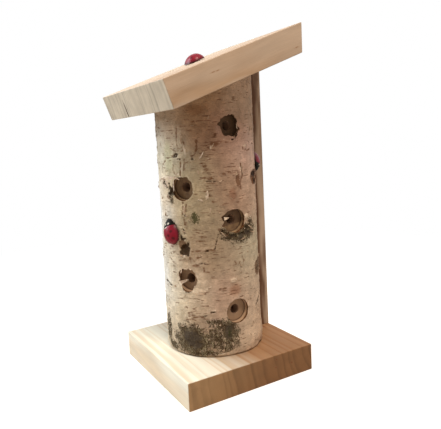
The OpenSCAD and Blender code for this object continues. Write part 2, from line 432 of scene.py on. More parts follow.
# fibres 0.8 mm wide and 11 mm long, and burnt spots 6 mm wide
upright = add(tree, "VectorMath", (place, (1.2, 1.2, 0.09)), operation="MULTIPLY")
fibre = add(tree, "TexNoise", {"Vector": upright, "Scale": 1.0, "Detail": 3.0})
burn = add(tree, "TexNoise", {"Vector": place, "Scale": 0.16, "Detail": 2.0})
colour = add(tree, "Mix", (fibre, linear("#b59a74"), linear("#8e7050")), **RGB)
burnt = add(tree, "MapRange", (burn, 0.45, 0.7, 0.0, 0.6))
colour = add(tree, "Mix", (burnt, colour, linear("#68503a")), **RGB)
# painted light: the wood of the lowest holes, below 124 to 150 mm up, is mixed towards a paler colour
low_hole_light = add(tree, "MapRange", (level, 124, 150, 0.62, 0.0))
colour = add(tree, "Mix", (low_hole_light, colour, linear("#cfae90")), **RGB)
print("birch wood, plain: %d nodes" % len(tree.nodes))

# %% [markdown]
# A flat bit leaves a narrow bore beyond each hole's flat end, from its centre point. Painted shade darkens
# the corner where the wall of a hole meets its flat end, and a little the flat end and the bore; the bore
# is lifted again below with painted light. All are found by measuring from the hole's own axis. The holes
# of a column stand one pitch apart, so a ping-pong of the height with half that pitch gives the distance to
# the nearest one.

# %% Painted shade in the holes, and their bores
LOG_R, HOLE_R, PITCH, FLAT_END = 51.7, 12.5, 94.3, 44.0
HOLE_COLUMNS = ((90, 46.3), (31, 81.3), (-38, 46.3), (-95, 81.3))
painted_hole_shade, bore_light = 0.0, 0.0
for angle, lowest in HOLE_COLUMNS:
    turn = math.radians(angle)
    out = add(tree, "VectorMath", (place, (math.sin(turn), -math.cos(turn), 0)), operation="DOT_PRODUCT")
    side = add(tree, "VectorMath", (place, (math.cos(turn), math.sin(turn), 0)), operation="DOT_PRODUCT")
    up = add(tree, "Math", (level, BASE_T + lowest), operation="SUBTRACT")
    up = add(tree, "Math", (up, PITCH / 2), operation="PINGPONG")
    reach = add(tree, "VectorMath", (add(tree, "CombineXYZ", (side, up)),), operation="LENGTH")
    across = add(tree, "Math", (reach, HOLE_R), operation="SUBTRACT")
    deep = add(tree, "Math", (out, FLAT_END), operation="SUBTRACT")
    corner = add(tree, "VectorMath", (add(tree, "CombineXYZ", (across, deep)),), operation="LENGTH")
    corner_shade = add(tree, "MapRange", (corner, 0.3, 1.6, 0.75, 0.0), **SOFT)
    end_shade = add(tree, "MapRange", (deep, 0.1, 1.6, 0.32, 0.0))
    here = add(tree, "Math", (add(tree, "Math", (out, 20.0), operation="GREATER_THAN"),
                              add(tree, "Math", (reach, HOLE_R + 1), operation="LESS_THAN")),
               operation="MULTIPLY")
    dark = add(tree, "Math", (corner_shade, end_shade), operation="MAXIMUM")
    dark = add(tree, "Math", (dark, here), operation="MULTIPLY")
    painted_hole_shade = add(tree, "Math", (dark, painted_hole_shade), operation="MAXIMUM")
    within = add(tree, "MapRange", (reach, 5.2, 5.6, 1.0, 0.0))
    beyond = add(tree, "MapRange", (out, 42.8, 43.6, 1.0, 0.0))
    bore = add(tree, "Math", (within, beyond), operation="MULTIPLY")
    bore = add(tree, "Math", (bore, here), operation="MULTIPLY")
    bore_light = add(tree, "Math", (bore, bore_light), operation="MAXIMUM")
# painted shade: the holes' corners and flat ends are mixed towards dark brown
colour = add(tree, "Mix", (painted_hole_shade, colour, linear("#41291a")), **RGB)
print("birch wood with its drilled rings: %d nodes" % len(tree.nodes))

# %% [markdown]
# The two upper holes on the right get painted shade: the top one all over, and the middle one over its
# upper half, above a line that tilts a little. The painted shade is weaker on the walls outside the flat end.

# %% Painted shade, painted light and finish of the birch wood
UPPER_HOLE_SHADES = ((240, 290, 200, 0.8, "#4d341c"), (150, 190, 162.5, 0.55, "#44291c"))
right_side = add(tree, "Math", (sideways, 30), operation="GREATER_THAN")
flat_end = add(tree, "MapRange", (sideways, 44.0, 45.2, 1.0, 0.15))
tilted = add(tree, "Math", (backwards, -0.12, level), operation="MULTIPLY_ADD")
# painted shade over the two upper holes on the right, on the flat end and, weaker, on the walls
for low, high, line, most, tint in UPPER_HOLE_SHADES:
    upper_shade = add(tree, "MapRange", (tilted, line, line + 0.8, 0.0, most))
    over = add(tree, "Math", (level, low), operation="GREATER_THAN")
    under = add(tree, "Math", (level, high), operation="LESS_THAN")
    for part in (over, under, right_side, flat_end):
        upper_shade = add(tree, "Math", (upper_shade, part), operation="MULTIPLY")
    colour = add(tree, "Mix", (upper_shade, colour, linear(tint)), **RGB)
# painted light: the bores beyond the flat ends are lifted to a mid brown, against their own shade
colour = add(tree, "Mix", (bore_light, colour, linear("#9a7c65")), **RGB)
bump = add(tree, "Bump", {"Strength": 0.7, "Distance": 0.0004, "Height": fibre})
shader = add(tree, "BsdfPrincipled", {"Base Color": colour, "Roughness": 0.8, "Normal": bump})
add(tree, "OutputMaterial", {"Surface": shader})
nodes["log_core"].material_slots[0].material = birch_wood
print("birch wood: %d columns of holes, %d painted_shades" % (len(HOLE_COLUMNS), len(UPPER_HOLE_SHADES)))

# %% [markdown]
# The bark is one skin, worked out as a function of two numbers: the arc round the log and the height
# above the base board, both in millimetres. Its radius is the log's, plus hills made from tables of random
# numbers, plus or minus what each knot, scar and peel does. Places are given as (angle, height), where
# the angle counts from the front towards the right.

# %% Arc, height and random hills
TABLE = (97, 89)
FRONT_BUG, SIDE_BUG, ROOF_BUG = (12, 130.5, 18), (158, 194.5, 120), (-8, 6, 92)
WOOD_R, BATTEN_X, BATTEN_FRONT, BATTEN_BACK = 49.2, -12, 47.0, 75


def arc(angle):
    """Length round the log in mm from the front to an angle in degrees."""
    return np.radians(angle) * LOG_R


def log_top(u):
    """Height of the sawn slope above the base board: the height at the axis, plus depth times the slope."""
    return LOG_H - LOG_R * np.cos(u / LOG_R) * math.tan(SLOPE)


def hills(u, z, wide, high, seed):
    """Random heights from -1 to 1 on a lattice of wide x high mm, blended by 3t^2 - 2t^3 in between."""
    table = np.random.default_rng(seed).uniform(-1, 1, TABLE)
    a, b = u / wide + 200.3, z / high + 200.7
    i, j = np.floor(a).astype(int), np.floor(b).astype(int)
    s, t = a - i, b - j
    s, t = s * s * (3 - 2 * s), t * t * (3 - 2 * t)
    i, j, k, m = i % TABLE[0], j % TABLE[1], (i + 1) % TABLE[0], (j + 1) % TABLE[1]
    lower = table[i, j] * (1 - s) + table[k, j] * s
    upper = table[i, m] * (1 - s) + table[k, m] * s
    return lower * (1 - t) + upper * t


# %% [markdown]
# A mark on the bark is kept as a distance: how many millimetres a point lies inside the mark's edge. Such
# a number can be blended over the mesh without losing the edge, and the material adds fine noise to it
# before it draws the line, so a knot gets a ragged outline that is finer than the mesh. An oval is listed
# as (angle, height, its width, its height), and a brush stroke as (width, place, place and so on).

# %% Marks as distances
def oval(u, z, angle, height, wide, high):
    """Distance inside an oval: one minus the stretched distance from its middle, times its small radius."""
    stretched = np.hypot((u - arc(angle)) / (wide / 2), (z - height) / (high / 2))
    return (1 - stretched) * min(wide, high) / 2


def stroke(u, z, width, *places):
    """Distance inside a brush stroke: half its width minus the distance to a line through its places."""
    away = np.full(u.shape, 1e6)
    for (a0, z0), (a1, z1) in zip(places, places[1:]):
        u0, du, dz = arc(a0), arc(a1) - arc(a0), z1 - z0
        t = np.clip(((u - u0) * du + (z - z0) * dz) / (du * du + dz * dz), 0, 1)
        away = np.minimum(away, np.hypot(u - u0 - t * du, z - z0 - t * dz))
    return width / 2 - away


def deepest(u, z, ovals, strokes):
    """The largest of several marks' distances, with ragged edges of about a millimetre."""
    best = np.full(u.shape, -9.0)
    for mark in ovals:
        best = np.maximum(best, oval(u, z, *mark))
    for width, *places in strokes:
        best = np.maximum(best, stroke(u, z, width, *places))
    return best + 0.7 * hills(u, z, 2.6, 2.0, 41)


# %% [markdown]
# There are three kinds of mark. Dark ones are knots and old cracks, brown ones are inner bark, and pale
# ones are torn paper. Where the log faces the camera they follow the real one, and the rest are made up in
# the same style.

# %% Dark, brown and pale marks
DARK_OVALS = [
    (31, 113, 11, 12), (26.2, 108.5, 4.2, 5.5), (34, 108.6, 4, 5), (35, 118.3, 3.6, 5),
    (15.6, 172.5, 5, 10), (13.4, 176.5, 3.4, 4), (9, 176, 3, 2), (3, 181.5, 3, 2), (133, 184, 20, 7),
    (136, 177, 14, 9), (107.5, 129.5, 6, 8), (111, 125.5, 5, 4), (-14.4, 52.8, 2.6, 7), (-6, 74.8, 2.2, 3),
    (-25, 247, 4, 9), (-26, 233, 3, 6), (-62, 118, 9, 11), (-120, 205, 12, 9), (-71, 231, 7, 6),
    (-135, 66, 10, 13), (-107, 150, 6, 5), (-50, 22, 12, 8), (164, 120, 9, 12), (-150, 152, 7, 9),
]
DARK_STROKES = [
    (1.8, (122, 186), (130, 182.5)), (1.2, (120.5, 187), (121, 178)), (1.3, (129, 179), (132, 170)),
    (1.8, (-14, 249), (-16, 243), (-13, 238)), (1.4, (-15, 234), (-13, 228)), (1.0, (-14, 220), (-15, 214)),
    (2.6, (26.5, 127), (27.4, 123.5), (32.5, 124.6)), (1.6, (29.7, 133.5), (31.4, 129.8)),
    (1.3, (2, 182), (5.4, 179.1), (9.2, 176.1), (11.7, 173.2), (14, 169.2), (17, 166.7)),
    (2.2, (12.6, 179.6), (14.4, 173.8), (18.6, 169.1)),
    (1.6, (22.1, 208.5), (27.4, 209.5), (25.6, 206.4), (21.9, 207)), (0.9, (27, 204.8), (30.4, 204.2)),
    (1.9, (40.5, 206.6), (41.1, 206.3)), (2.0, (44.6, 204.4), (45.2, 204.2)),
    (1.2, (57.1, 181.3), (65.3, 180.8), (71.9, 180.5)), (1.2, (30.1, 148.7), (33.7, 147.4)),
    (0.9, (53.9, 111.8), (57.1, 111.6)), (1.3, (46, 98.4), (54.1, 98.9)), (1.1, (57, 48.3), (62.6, 48.4)),
    (0.9, (48.3, 44.3), (52.8, 44.6)), (1.2, (74, 131.5), (79, 127.5), (84, 125.3)),
    (2.2, (84, 124.6), (92, 124.2), (100, 125.5)), (1.3, (69.7, 128.5), (67.6, 121.5), (64.9, 113)),
    (1.3, (112, 137), (117, 135), (122, 132)), (2.6, (121.5, 45), (126, 48.2), (131, 51.5)),
    (1.6, (129, 93), (128, 86), (130, 79)), (1.3, (-8, 75.5), (0, 73.8), (6, 72.5)),
    (2.4, (-24, 262), (-25.5, 250), (-27, 238), (-26, 226)), (1.4, (-27, 207), (-20, 206.5)),
    (1.2, (-27, 177.5), (-21, 178.5)), (1.2, (-27, 103), (-18, 106)), (1.3, (96.6, 239), (98.4, 234.4)),
    (1.3, (98, 233.4), (101, 232.3), (101.3, 230)), (1.7, (99.8, 230), (98.7, 227.5), (95.5, 223)),
    (1.2, (95, 221.4), (88.6, 220.4)), (1.2, (77, 124.5), (80.5, 122.6), (83, 121.5)),
    (1.3, (-9, 29), (-9, 18), (-5, 11), (3, 6.5), (10, 4)), (1.6, (-55, 190), (-48, 192), (-42, 190)),
    (1.8, (-95, 30), (-84, 31)), (2.2, (-128, 240), (-118, 243)), (1.6, (170, 60), (176, 61)),
    (2.0, (150, 150), (160, 148)), (1.6, (-140, 108), (-128, 110)),
]
BROWN_OVALS = [
    (28, 118, 10, 9), (133, 181, 26, 17), (133, 85, 20, 20), (70.5, 218, 9, 4.5), (71, 226.5, 2.6, 2.2),
    (103, 126, 14, 8), (-62, 111, 14, 12), (-120, 198, 18, 12), (164, 112, 14, 14), (-92, 232, 16, 10),
    (43, 97, 8, 3), (97, 181, 5, 14),
]
BROWN_STROKES = [
    (1.3, (32.2, 236.7), (39.2, 236.4)), (1.2, (45.4, 239.9), (48.6, 240.3), (51.8, 239.8)),
    (1.1, (38.9, 242.5), (43.8, 242.6)), (0.9, (45.8, 236.3), (49.2, 235.8)),
    (0.9, (40, 231.7), (44.8, 231.7)), (1.7, (35.3, 221.6), (36.7, 218.5)),
    (0.8, (28, 240.6), (27.7, 233.3), (27.3, 222), (28.1, 215.2)),
    (1.0, (30.5, 214.6), (33.3, 216), (34.3, 212.9), (31.6, 211.5)),
    (0.8, (18.7, 215.5), (24.7, 212.6), (28.3, 212.5)),
    (1.7, (50.7, 222), (50.5, 213.9), (48.1, 208.8), (44.5, 206.9)), (1.1, (37.4, 200.9), (42.9, 201)),
    (1.4, (54.6, 199.2), (59.1, 198.8)), (1.4, (56.1, 196.9), (60.1, 196.4)),
    (1.4, (57.7, 194), (61.7, 193.8)), (1.3, (31, 204.2), (30.1, 191.6), (30.2, 188)),
    (1.2, (35.7, 204), (34.9, 192.9)), (0.8, (-3.3, 221.8), (0.2, 215.8)), (1.1, (1.8, 199), (8.1, 202.9)),
    (1.0, (56, 190.1), (61.5, 190.2)), (1.0, (58.4, 192.2), (64.7, 191.9)),
    (1.2, (57.7, 184.8), (65.1, 184.7)), (0.9, (54.2, 171.9), (58.2, 172)),
    (0.7, (42.9, 169.2), (47.8, 169.2)), (0.9, (61, 166.9), (65.6, 166.7)),
    (1.3, (65.3, 161), (69.3, 160.8)), (1.1, (76.3, 156.7), (79.8, 157.5)),
    (0.9, (78.9, 188.8), (87.7, 188.2)), (1.0, (31, 160.6), (30.1, 148.3)),
    (1.0, (34.9, 158.6), (33.8, 148.4)), (0.9, (31.6, 144), (32.9, 135.2)),
    (0.7, (37, 157.2), (42.1, 157.2)), (0.9, (38.5, 125.8), (43, 126)), (1.0, (50.5, 125.7), (56, 125.4)),
    (1.0, (44.6, 121.7), (54, 121.8)), (1.1, (43.5, 104.6), (48.8, 105.5)),
    (1.3, (36.1, 105.4), (36.3, 100.2)), (1.3, (39.1, 103.9), (40.6, 101.3)),
    (0.8, (21.8, 101.2), (32.3, 102.3)), (0.7, (12.1, 108.6), (20.7, 110.9)),
    (0.8, (4.1, 104.1), (8.9, 99.9)), (0.8, (14.8, 97.9), (18.7, 96)), (1.5, (26.3, 119.8), (24.8, 116.7)),
    (0.7, (34.3, 141), (34.2, 134.5)), (0.8, (46, 55.1), (54, 54.9)), (0.8, (25.6, 51.9), (29.8, 52.1)),
    (0.8, (64.3, 60.3), (68.3, 59.9)), (0.8, (30.1, 46.8), (36.6, 47.9)), (0.8, (30, 45.2), (35.8, 46.1)),
    (0.8, (30.5, 43.2), (35.1, 43.9)), (0.7, (11.4, 54.7), (16.8, 55.5)), (0.7, (15.5, 60), (23.4, 61)),
    (0.8, (34.4, 43.1), (46.4, 43), (49.8, 42)), (0.8, (26, 38.8), (32.9, 40.3)),
    (2.2, (71, 133), (76, 128), (82, 125)), (1.0, (51.5, 95), (52, 90), (58, 89.5)),
    (1.6, (68, 71.5), (75, 71.5)), (1.0, (44, 68.5), (52, 68)),
    (1.3, (64.9, 112.3), (53.8, 112), (38.8, 111.4)),
    (1.6, (101, 197), (103.1, 192), (103.3, 184), (99.7, 178), (101, 171)),
    (1.6, (106.5, 212), (109, 209.7), (115, 209), (120, 210.5)),
    (1.0, (71.8, 219.4), (76.3, 219.7), (86, 218.8)),
    (0.9, (13.7, 166.5), (18.5, 164.2), (15, 162), (19, 160)), (0.7, (21, 201), (20, 194), (22, 190)),
    (0.9, (-12, 205), (-8, 199), (-10, 192)), (0.8, (-4, 200), (0, 196), (-3, 190)),
    (0.8, (88, 98), (92, 94), (95, 97)), (0.8, (98, 103), (101, 98), (99, 93)),
    (2.2, (-100, 96), (-92, 90), (-88, 80)), (2.0, (171, 190), (170, 172)),
    (3.2, (79, 128.4), (85, 126), (92, 126), (99, 127.6), (106, 133)),
]
# the first pale oval, on the upper lip of the filled knot at 86 degrees, is a painted highlight
PALE_OVALS = [
    (86, 79.5, 9, 4.5), (110, 214, 4, 2.5), (24, 76, 4, 4), (108, 143, 6, 5), (114, 139, 6, 6),
    (120, 128, 4, 5), (5, 186, 12, 3), (61, 49.8, 6, 2), (-62, 127, 8, 5), (-118, 213, 9, 5),
    (164, 128, 8, 4), (30, 106.3, 3.4, 3), (66, 214, 2.4, 4), (63, 9.5, 6, 2.6),
]
PALE_STROKES = [
    (1.6, (32.5, 232.6), (34.1, 227.8), (32.9, 223.8), (34.7, 218.6)), (1.5, (36, 217.5), (37.8, 207.6)),
    (1.0, (42.5, 203.8), (44.5, 206.4), (46.9, 207.3)), (1.0, (33.3, 204.1), (32.3, 191.6)),
    (1.3, (49, 163.5), (54.4, 161.9)), (1.6, (59.3, 171.7), (58.3, 163.9)),
    # the second stroke below, along the upper-left rim of the hole at 31 degrees, is a painted highlight
    (1.1, (33, 157.1), (32.1, 151.3)), (1.8, (18.5, 174.8), (19.1, 179.5), (22.5, 183.6), (29.6, 186.4)),
    (1.2, (52, 71), (58, 75)), (1.4, (99.4, 197), (101.4, 190), (101.5, 184)), (1.2, (30, 89), (36, 92)),
    (1.2, (105, 137), (112, 133), (110, 127)), (1.2, (10.5, 176.4), (12.5, 171), (14, 167.6)),
    (1.0, (22, 188), (27, 189.5)), (1.2, (14, 3.2), (30, 2.2), (50, 2.4), (74, 3.6)),
    (1.1, (81, 221.5), (86, 219.8)), (1.5, (-70, 60), (-64, 66)), (1.6, (-98, 190), (-97, 178)),
    (1.5, (168, 84), (174, 90)),
]
print("marks: %d dark, %d brown, %d pale" % tuple(len(ovals) + len(strokes) for ovals, strokes in (
    (DARK_OVALS, DARK_STROKES), (BROWN_OVALS, BROWN_STROKES), (PALE_OVALS, PALE_STROKES))))

# %% [markdown]
# Dark, crumbly crust grows at the log's foot and round some wounds. It has no edge of its own: each patch,
# listed as (angle, height, its width, its height, strength), thins out from its middle, and the material
# decides how much of it is broken up by noise.

# %% Crust
CRUST = [
    (33, 18, 17, 14, 1.35), (24, 27, 10, 8, 0.9), (19, 12, 8, 11, 0.85), (46, 18, 13, 12, 0.8),
    (60, 20, 15, 14, 0.7), (77, 26, 7, 13, 1.3), (70, 34, 14, 6, 0.85), (62, 38, 12, 4, 0.75),
    (84, 20, 7, 13, 0.7), (72, 11, 12, 6, 0.7), (11, 18, 8, 12, 0.5), (-9, 23, 7, 15, 1.0),
    (4, 7, 13, 5, 0.85), (40, 5, 24, 4, 0.85), (88, 10, 5, 8, 0.35), (77, 130, 6, 4, 0.8),
    (88, 124.2, 13, 4.5, 1.05), (98, 123.5, 10, 5.5, 1.15), (107, 127.5, 8, 8, 1.25),
    (114, 135, 5, 7, 0.85), (92, 118, 16, 4, 0.3), (117, 129, 7, 8, 0.55), (14, 168, 5, 6, 0.7),
    (4, 179, 7, 5, 0.4), (15, 162, 5, 4, 0.4), (31, 70, 9, 3, 0.4), (135, 85, 9, 8, 0.4),
    (-62, 118, 11, 12, 0.7), (-120, 205, 13, 10, 0.7), (-135, 66, 10, 12, 0.7), (164, 120, 10, 12, 0.6),
    (-42, 14, 17, 13, 0.7), (-70, 9, 14, 9, 0.5), (-150, 152, 9, 10, 0.6), (-71, 231, 8, 7, 0.5),
]


def crust_density(u, z):
    """How thick the crust lies: each patch's strength less the stretched distance squared, and of those
    the largest."""
    density = np.full(u.shape, -1.0)
    for angle, height, wide, high, strength in CRUST:
        stretched = ((u - arc(angle)) / wide) ** 2 + ((z - height) / high) ** 2
        density = np.maximum(density, strength - 0.75 * stretched)
    return density + 0.22 * hills(u, z, 5.0, 4.0, 51)


print("crust: %d patches" % len(CRUST))


# %% [markdown]
# The skin's radius adds up what a birch shows: a trunk that is never quite round, long soft ridges up the
# trunk, level ripples where the papery layers end, and a slight spread at the foot. Knots and scars are
# sunk with a raised lip, and the crust stands out. Under each ladybird on the log the bark is smooth. A
# drilled hole is listed as (angle, height, wobble of its rim, tears), and a tear as (direction, spread,
# millimetres outwards).

# %% Radius of the bark
# the batten's seat: its front face, and half of its width with a little room, in mm
SEAT, SEAT_HALF = BATTEN_FRONT - 0.1, 15
HOLES = [
    (90, 46.3, 0.12, [(200, 60, 0.5)]),
    (90, 140.6, 0.3, [(90, 60, -1.8), (-55, 50, 0.7), (163, 13, 2.0), (184, 9, -1.2), (200, 11, 1.6)]),
    (90, 234.9, 0.12, [(95, 62, -2.4), (5, 40, -5.8), (-98, 30, -2.6), (-48, 24, -3.0), (45, 24, -2.2),
                       (182, 52, -1.8), (172, 14, 3.4), (148, 8, 1.2)]),
    (31, 81.3, 0.5, [(215, 30, -4.2), (172, 36, -2.6), (320, 36, -3.2), (20, 46, -2.2), (90, 44, -1.6),
                     (60, 9, 1.2)]),
    (31, 175.6, 0.3, [(95, 46, -1.9), (45, 30, -1.4), (0, 40, -1.6), (180, 50, -0.9), (-90, 40, 0.6),
                      (60, 9, 0.9)]),
    (-38, 46.3, 0.3, [(120, 30, 1.0)]), (-38, 140.6, 0.3, [(-90, 40, 1.3)]),
    (-38, 234.9, 0.4, [(20, 30, 1.4)]), (-95, 81.3, 0.3, [(240, 40, 1.5)]),
    (-95, 175.6, 0.35, [(60, 30, -1.5), (180, 30, 1.0)]),
]


def rise(distance, width):
    """0 outside a mark, 1 deeper than width inside it, and 3t^2 - 2t^3 in between."""
    t = np.clip(distance / width, 0, 1)
    return t * t * (3 - 2 * t)


def bark_radius(u, z):
    """The log's radius plus hills, less dents, in mm; it stays over the wood and clear of the batten."""
    angle = u / LOG_R
    out = 0.35 * np.cos(2 * angle + 0.6) + 0.25 * np.cos(3 * angle - 1.0)
    for amount, wide, high, seed in ((0.35, 38, 70, 1), (0.22, 11, 42, 2), (0.17, 16, 2.4, 3),
                                     (0.26, 8, 4.3, 4), (0.12, 2.3, 2.3, 5)):
        out = out + amount * hills(u, z, wide, high, seed)
    out = out + np.exp(-((np.degrees(angle) - 128) / 34) ** 2) * 1.5 * np.exp(-((z - 11) / 9) ** 2)
    dark = deepest(u, z, DARK_OVALS, DARK_STROKES)
    out = out + 0.55 * np.exp(-((dark + 1.2) / 1.1) ** 2) - 1.7 * rise(dark, 2.6)
    brown = deepest(u, z, BROWN_OVALS, BROWN_STROKES)
    out = out + 0.25 * np.exp(-((brown + 0.8) / 0.9) ** 2) - 0.5 * rise(brown, 1.2)
    pale = deepest(u, z, PALE_OVALS, PALE_STROKES)
    out = out + 0.5 * rise(pale, 1.0)
    corky = rise(crust_density(u, z) + 0.1, 0.8)
    out = out + corky * (0.35 + 0.7 * hills(u, z, 3.1, 2.6, 6) + 0.4 * hills(u, z, 1.5, 1.6, 7))
    out = out - 0.7 * np.exp(-(z / 0.9) ** 2)
    for hole_angle, hole_height, *_ in HOLES:
        away = np.hypot(u - arc(hole_angle), z - hole_height) - HOLE_R
        out = out + 0.22 * np.exp(-((away - 1.3) / 0.9) ** 2)
    for angle_at, height, _ in (FRONT_BUG, SIDE_BUG):
        near = np.exp(-(((u - arc(angle_at)) / 9) ** 2 + ((z - height) / 11) ** 2) ** 2)
        out = out * (1 - near)
    radius = np.clip(LOG_R + out, WOOD_R + 0.35, LOG_R + 2.4)
    depth = -radius * np.cos(angle)
    behind_batten = (depth > SEAT) & (np.abs(radius * np.sin(angle) - BATTEN_X) < SEAT_HALF)
    pressed = np.maximum(SEAT / np.maximum(-np.cos(angle), 0.1), WOOD_R + 0.05)
    return np.where(behind_batten, pressed, radius)


front_radius = bark_radius(np.array([0.0]), np.array([100.0]))[0]
print("bark: radius %.1f mm at the front, 100 mm up" % front_radius)


# %% [markdown]
# The rim of a drilled hole isn't quite round: the drill tore the bark here and there, and left a flap. So
# the rim's radius is a function of the direction from the hole's middle, with a bulge for each tear.

# %% Rims of the holes
def rim_radius(angle, seed, wobble, tears):
    """The hole's radius by direction: 12.5 mm, plus a fine wobble, plus each tear's smooth bulge."""
    radius = HOLE_R + 0.1 + wobble * hills(np.cos(angle) * 9, np.sin(angle) * 9, 2.6, 2.6, 60 + seed)
    for direction, spread, amount in tears:
        turned = (np.degrees(angle) - direction + 180) % 360 - 180
        bulge = np.exp(-(turned / spread) ** 2 * 2)
        radius = radius + amount * bulge * (1 + 0.35 * hills(angle * 8, angle * 0, 1.0, 1.0, 80 + seed))
    return radius


def ring_faces(outer, inner):
    """Quads between two closed rings of point numbers that run the same way round."""
    return np.stack([outer, np.roll(outer, -1), np.roll(inner, -1), inner], 1)


# %% [markdown]
# The skin starts as a grid of 276 columns round the trunk and 244 rows up it. Its lowest row is ragged, and
# its top row follows the slope under the roof. A square of cells is left out round each hole. Twelve rings
# narrow from that square to the rim, and five more turn in from there, down to the clean wall in the wood.

# %% Grid and rings of the bark
ROWS, COLUMNS = 244, 276
# half the side of the square that is left out round a hole, in cells
HALF = 15
arc_line = np.linspace(arc(-162.0), arc(177.4), COLUMNS + 1)
share = np.linspace(0, 1, ROWS + 1)
grid_u, grid_t = np.meshgrid(arc_line, share)
foot_z = 1.0 + 0.6 * hills(grid_u, 0 * grid_u, 6.0, 1.0, 21) + 2.0 * np.exp(-((grid_u - arc(127)) / 6) ** 2)
grid_z = foot_z + grid_t * (log_top(grid_u) - foot_z)
number = np.arange(grid_u.size).reshape(grid_u.shape)
kept = np.ones((ROWS, COLUMNS), bool)

all_u, all_z = [grid_u.ravel()], [grid_z.ravel()]
all_sink, all_torn = [np.zeros(grid_u.size)], [np.zeros(grid_u.size)]
all_faces = []


def append_ring(u, z, sink, torn):
    """Adds one row of points and returns their numbers."""
    first = sum(part.size for part in all_u)
    for column, values in ((all_u, u), (all_z, z), (all_sink, sink), (all_torn, torn)):
        column.append(np.broadcast_to(values, u.shape))
    return np.arange(first, first + u.size)


for seed, (angle, height, wobble, tears) in enumerate(HOLES):
    j = int(np.argmin(np.abs(arc_line - arc(angle))))
    i = int(np.argmin(np.abs(grid_z[:, j] - height)))
    i0, i1, j0, j1 = i - HALF, i + HALF, j - HALF, j + HALF
    kept[i0:i1, j0:j1] = False
    ring = np.concatenate([number[i0, j0:j1], number[i0:i1, j1], number[i1, j1:j0:-1], number[i1:i0:-1, j0]])
    side_u, side_z = grid_u.ravel()[ring], grid_z.ravel()[ring]
    way = np.arctan2(side_z - height, side_u - arc(angle))
    reach = rim_radius(way, seed, wobble, tears)
    rim_u = arc(angle) + LOG_R * np.arcsin(reach * np.cos(way) / LOG_R)
    rim_z = height + reach * np.sin(way)
    for step in np.linspace(1, 0, 13)[1:] ** 1.4:
        inner = append_ring(rim_u + (side_u - rim_u) * step, rim_z + (side_z - rim_z) * step, 0.0,
                            float(step == 0))
        all_faces.append(ring_faces(ring, inner))
        ring = inner
    surface = bark_radius(rim_u, rim_z)
    for blend, sink in ((0.08, 0.3), (0.5, 0.8), (0.9, 1.4), (1.0, None), (1.04, None)):
        wall = reach + (HOLE_R + 0.05 - reach) * min(blend, 1.0) + (0.4 if blend > 1 else 0.0)
        if sink is None:
            sink = surface - (WOOD_R + 0.02 if blend == 1.0 else WOOD_R - 0.5)
        radius = surface - sink
        inner_u = arc(angle) + LOG_R * np.arcsin(wall * np.cos(way) / radius)
        inner = append_ring(inner_u, height + wall * np.sin(way), sink, 1.0)
        all_faces.append(ring_faces(ring, inner))
        ring = inner

i, j = np.nonzero(kept)
all_faces.append(np.stack([number[i, j], number[i, j + 1], number[i + 1, j + 1], number[i + 1, j]], 1))
print("bark: %d points before its edges" % sum(part.size for part in all_u))

# %% [markdown]
# The skin's free edges, at the foot, under the roof and on both sides of the batten, turn in to the wood,
# so that the bark reads as a layer with a thickness. Then the points get their places, and each carries
# what the material needs: its arc, height and depth, its broad colour, and its distances to the marks.

# %% Free edges
def turned_in(edge, flip):
    """Carries a free edge in to the wood in three steps of depth."""
    u, z = all_u[0][edge], all_z[0][edge]
    gap = bark_radius(u, z) - (WOOD_R - 0.4)
    for step in (0.25, 0.6, 1.0):
        inner = append_ring(u, z, gap * step, 1.0)
        a, b = (inner, edge) if flip else (edge, inner)
        all_faces.append(np.stack([a[:-1], a[1:], b[1:], b[:-1]], 1))
        edge = inner


turned_in(number[0], True)
turned_in(number[-1], False)
turned_in(number[:, 0], False)
turned_in(number[:, -1], True)

u, z = np.concatenate(all_u), np.concatenate(all_z)
sink, torn = np.concatenate(all_sink), np.concatenate(all_torn)
faces = np.concatenate(all_faces)
used, faces = np.unique(faces, return_inverse=True)
faces = faces.reshape(-1, 4)
u, z, sink, torn = u[used], z[used], sink[used], torn[used]
radius = bark_radius(u, z) - sink
bark_points = np.stack([radius * np.sin(u / LOG_R), -radius * np.cos(u / LOG_R), BASE_T + z], 1) / 1000
print("bark: %d points in use" % len(bark_points))

# %% [markdown]
# The bark's broad colour changes slowly round the trunk: cream with a touch of green on the left, pinkish
# tan on the right, and browner just under the roof, where that brown is painted shade of the roof. A
# handful of places, listed as (angle, height, colour), have a colour of their own, and each point takes
# their mean, weighted by nearness. Soft patches lie over it: (angle, height, width, height of the patch,
# colour, how much of it). Pores gather in the places listed last: (angle, height, reach round the trunk,
# reach along it, how thickly).

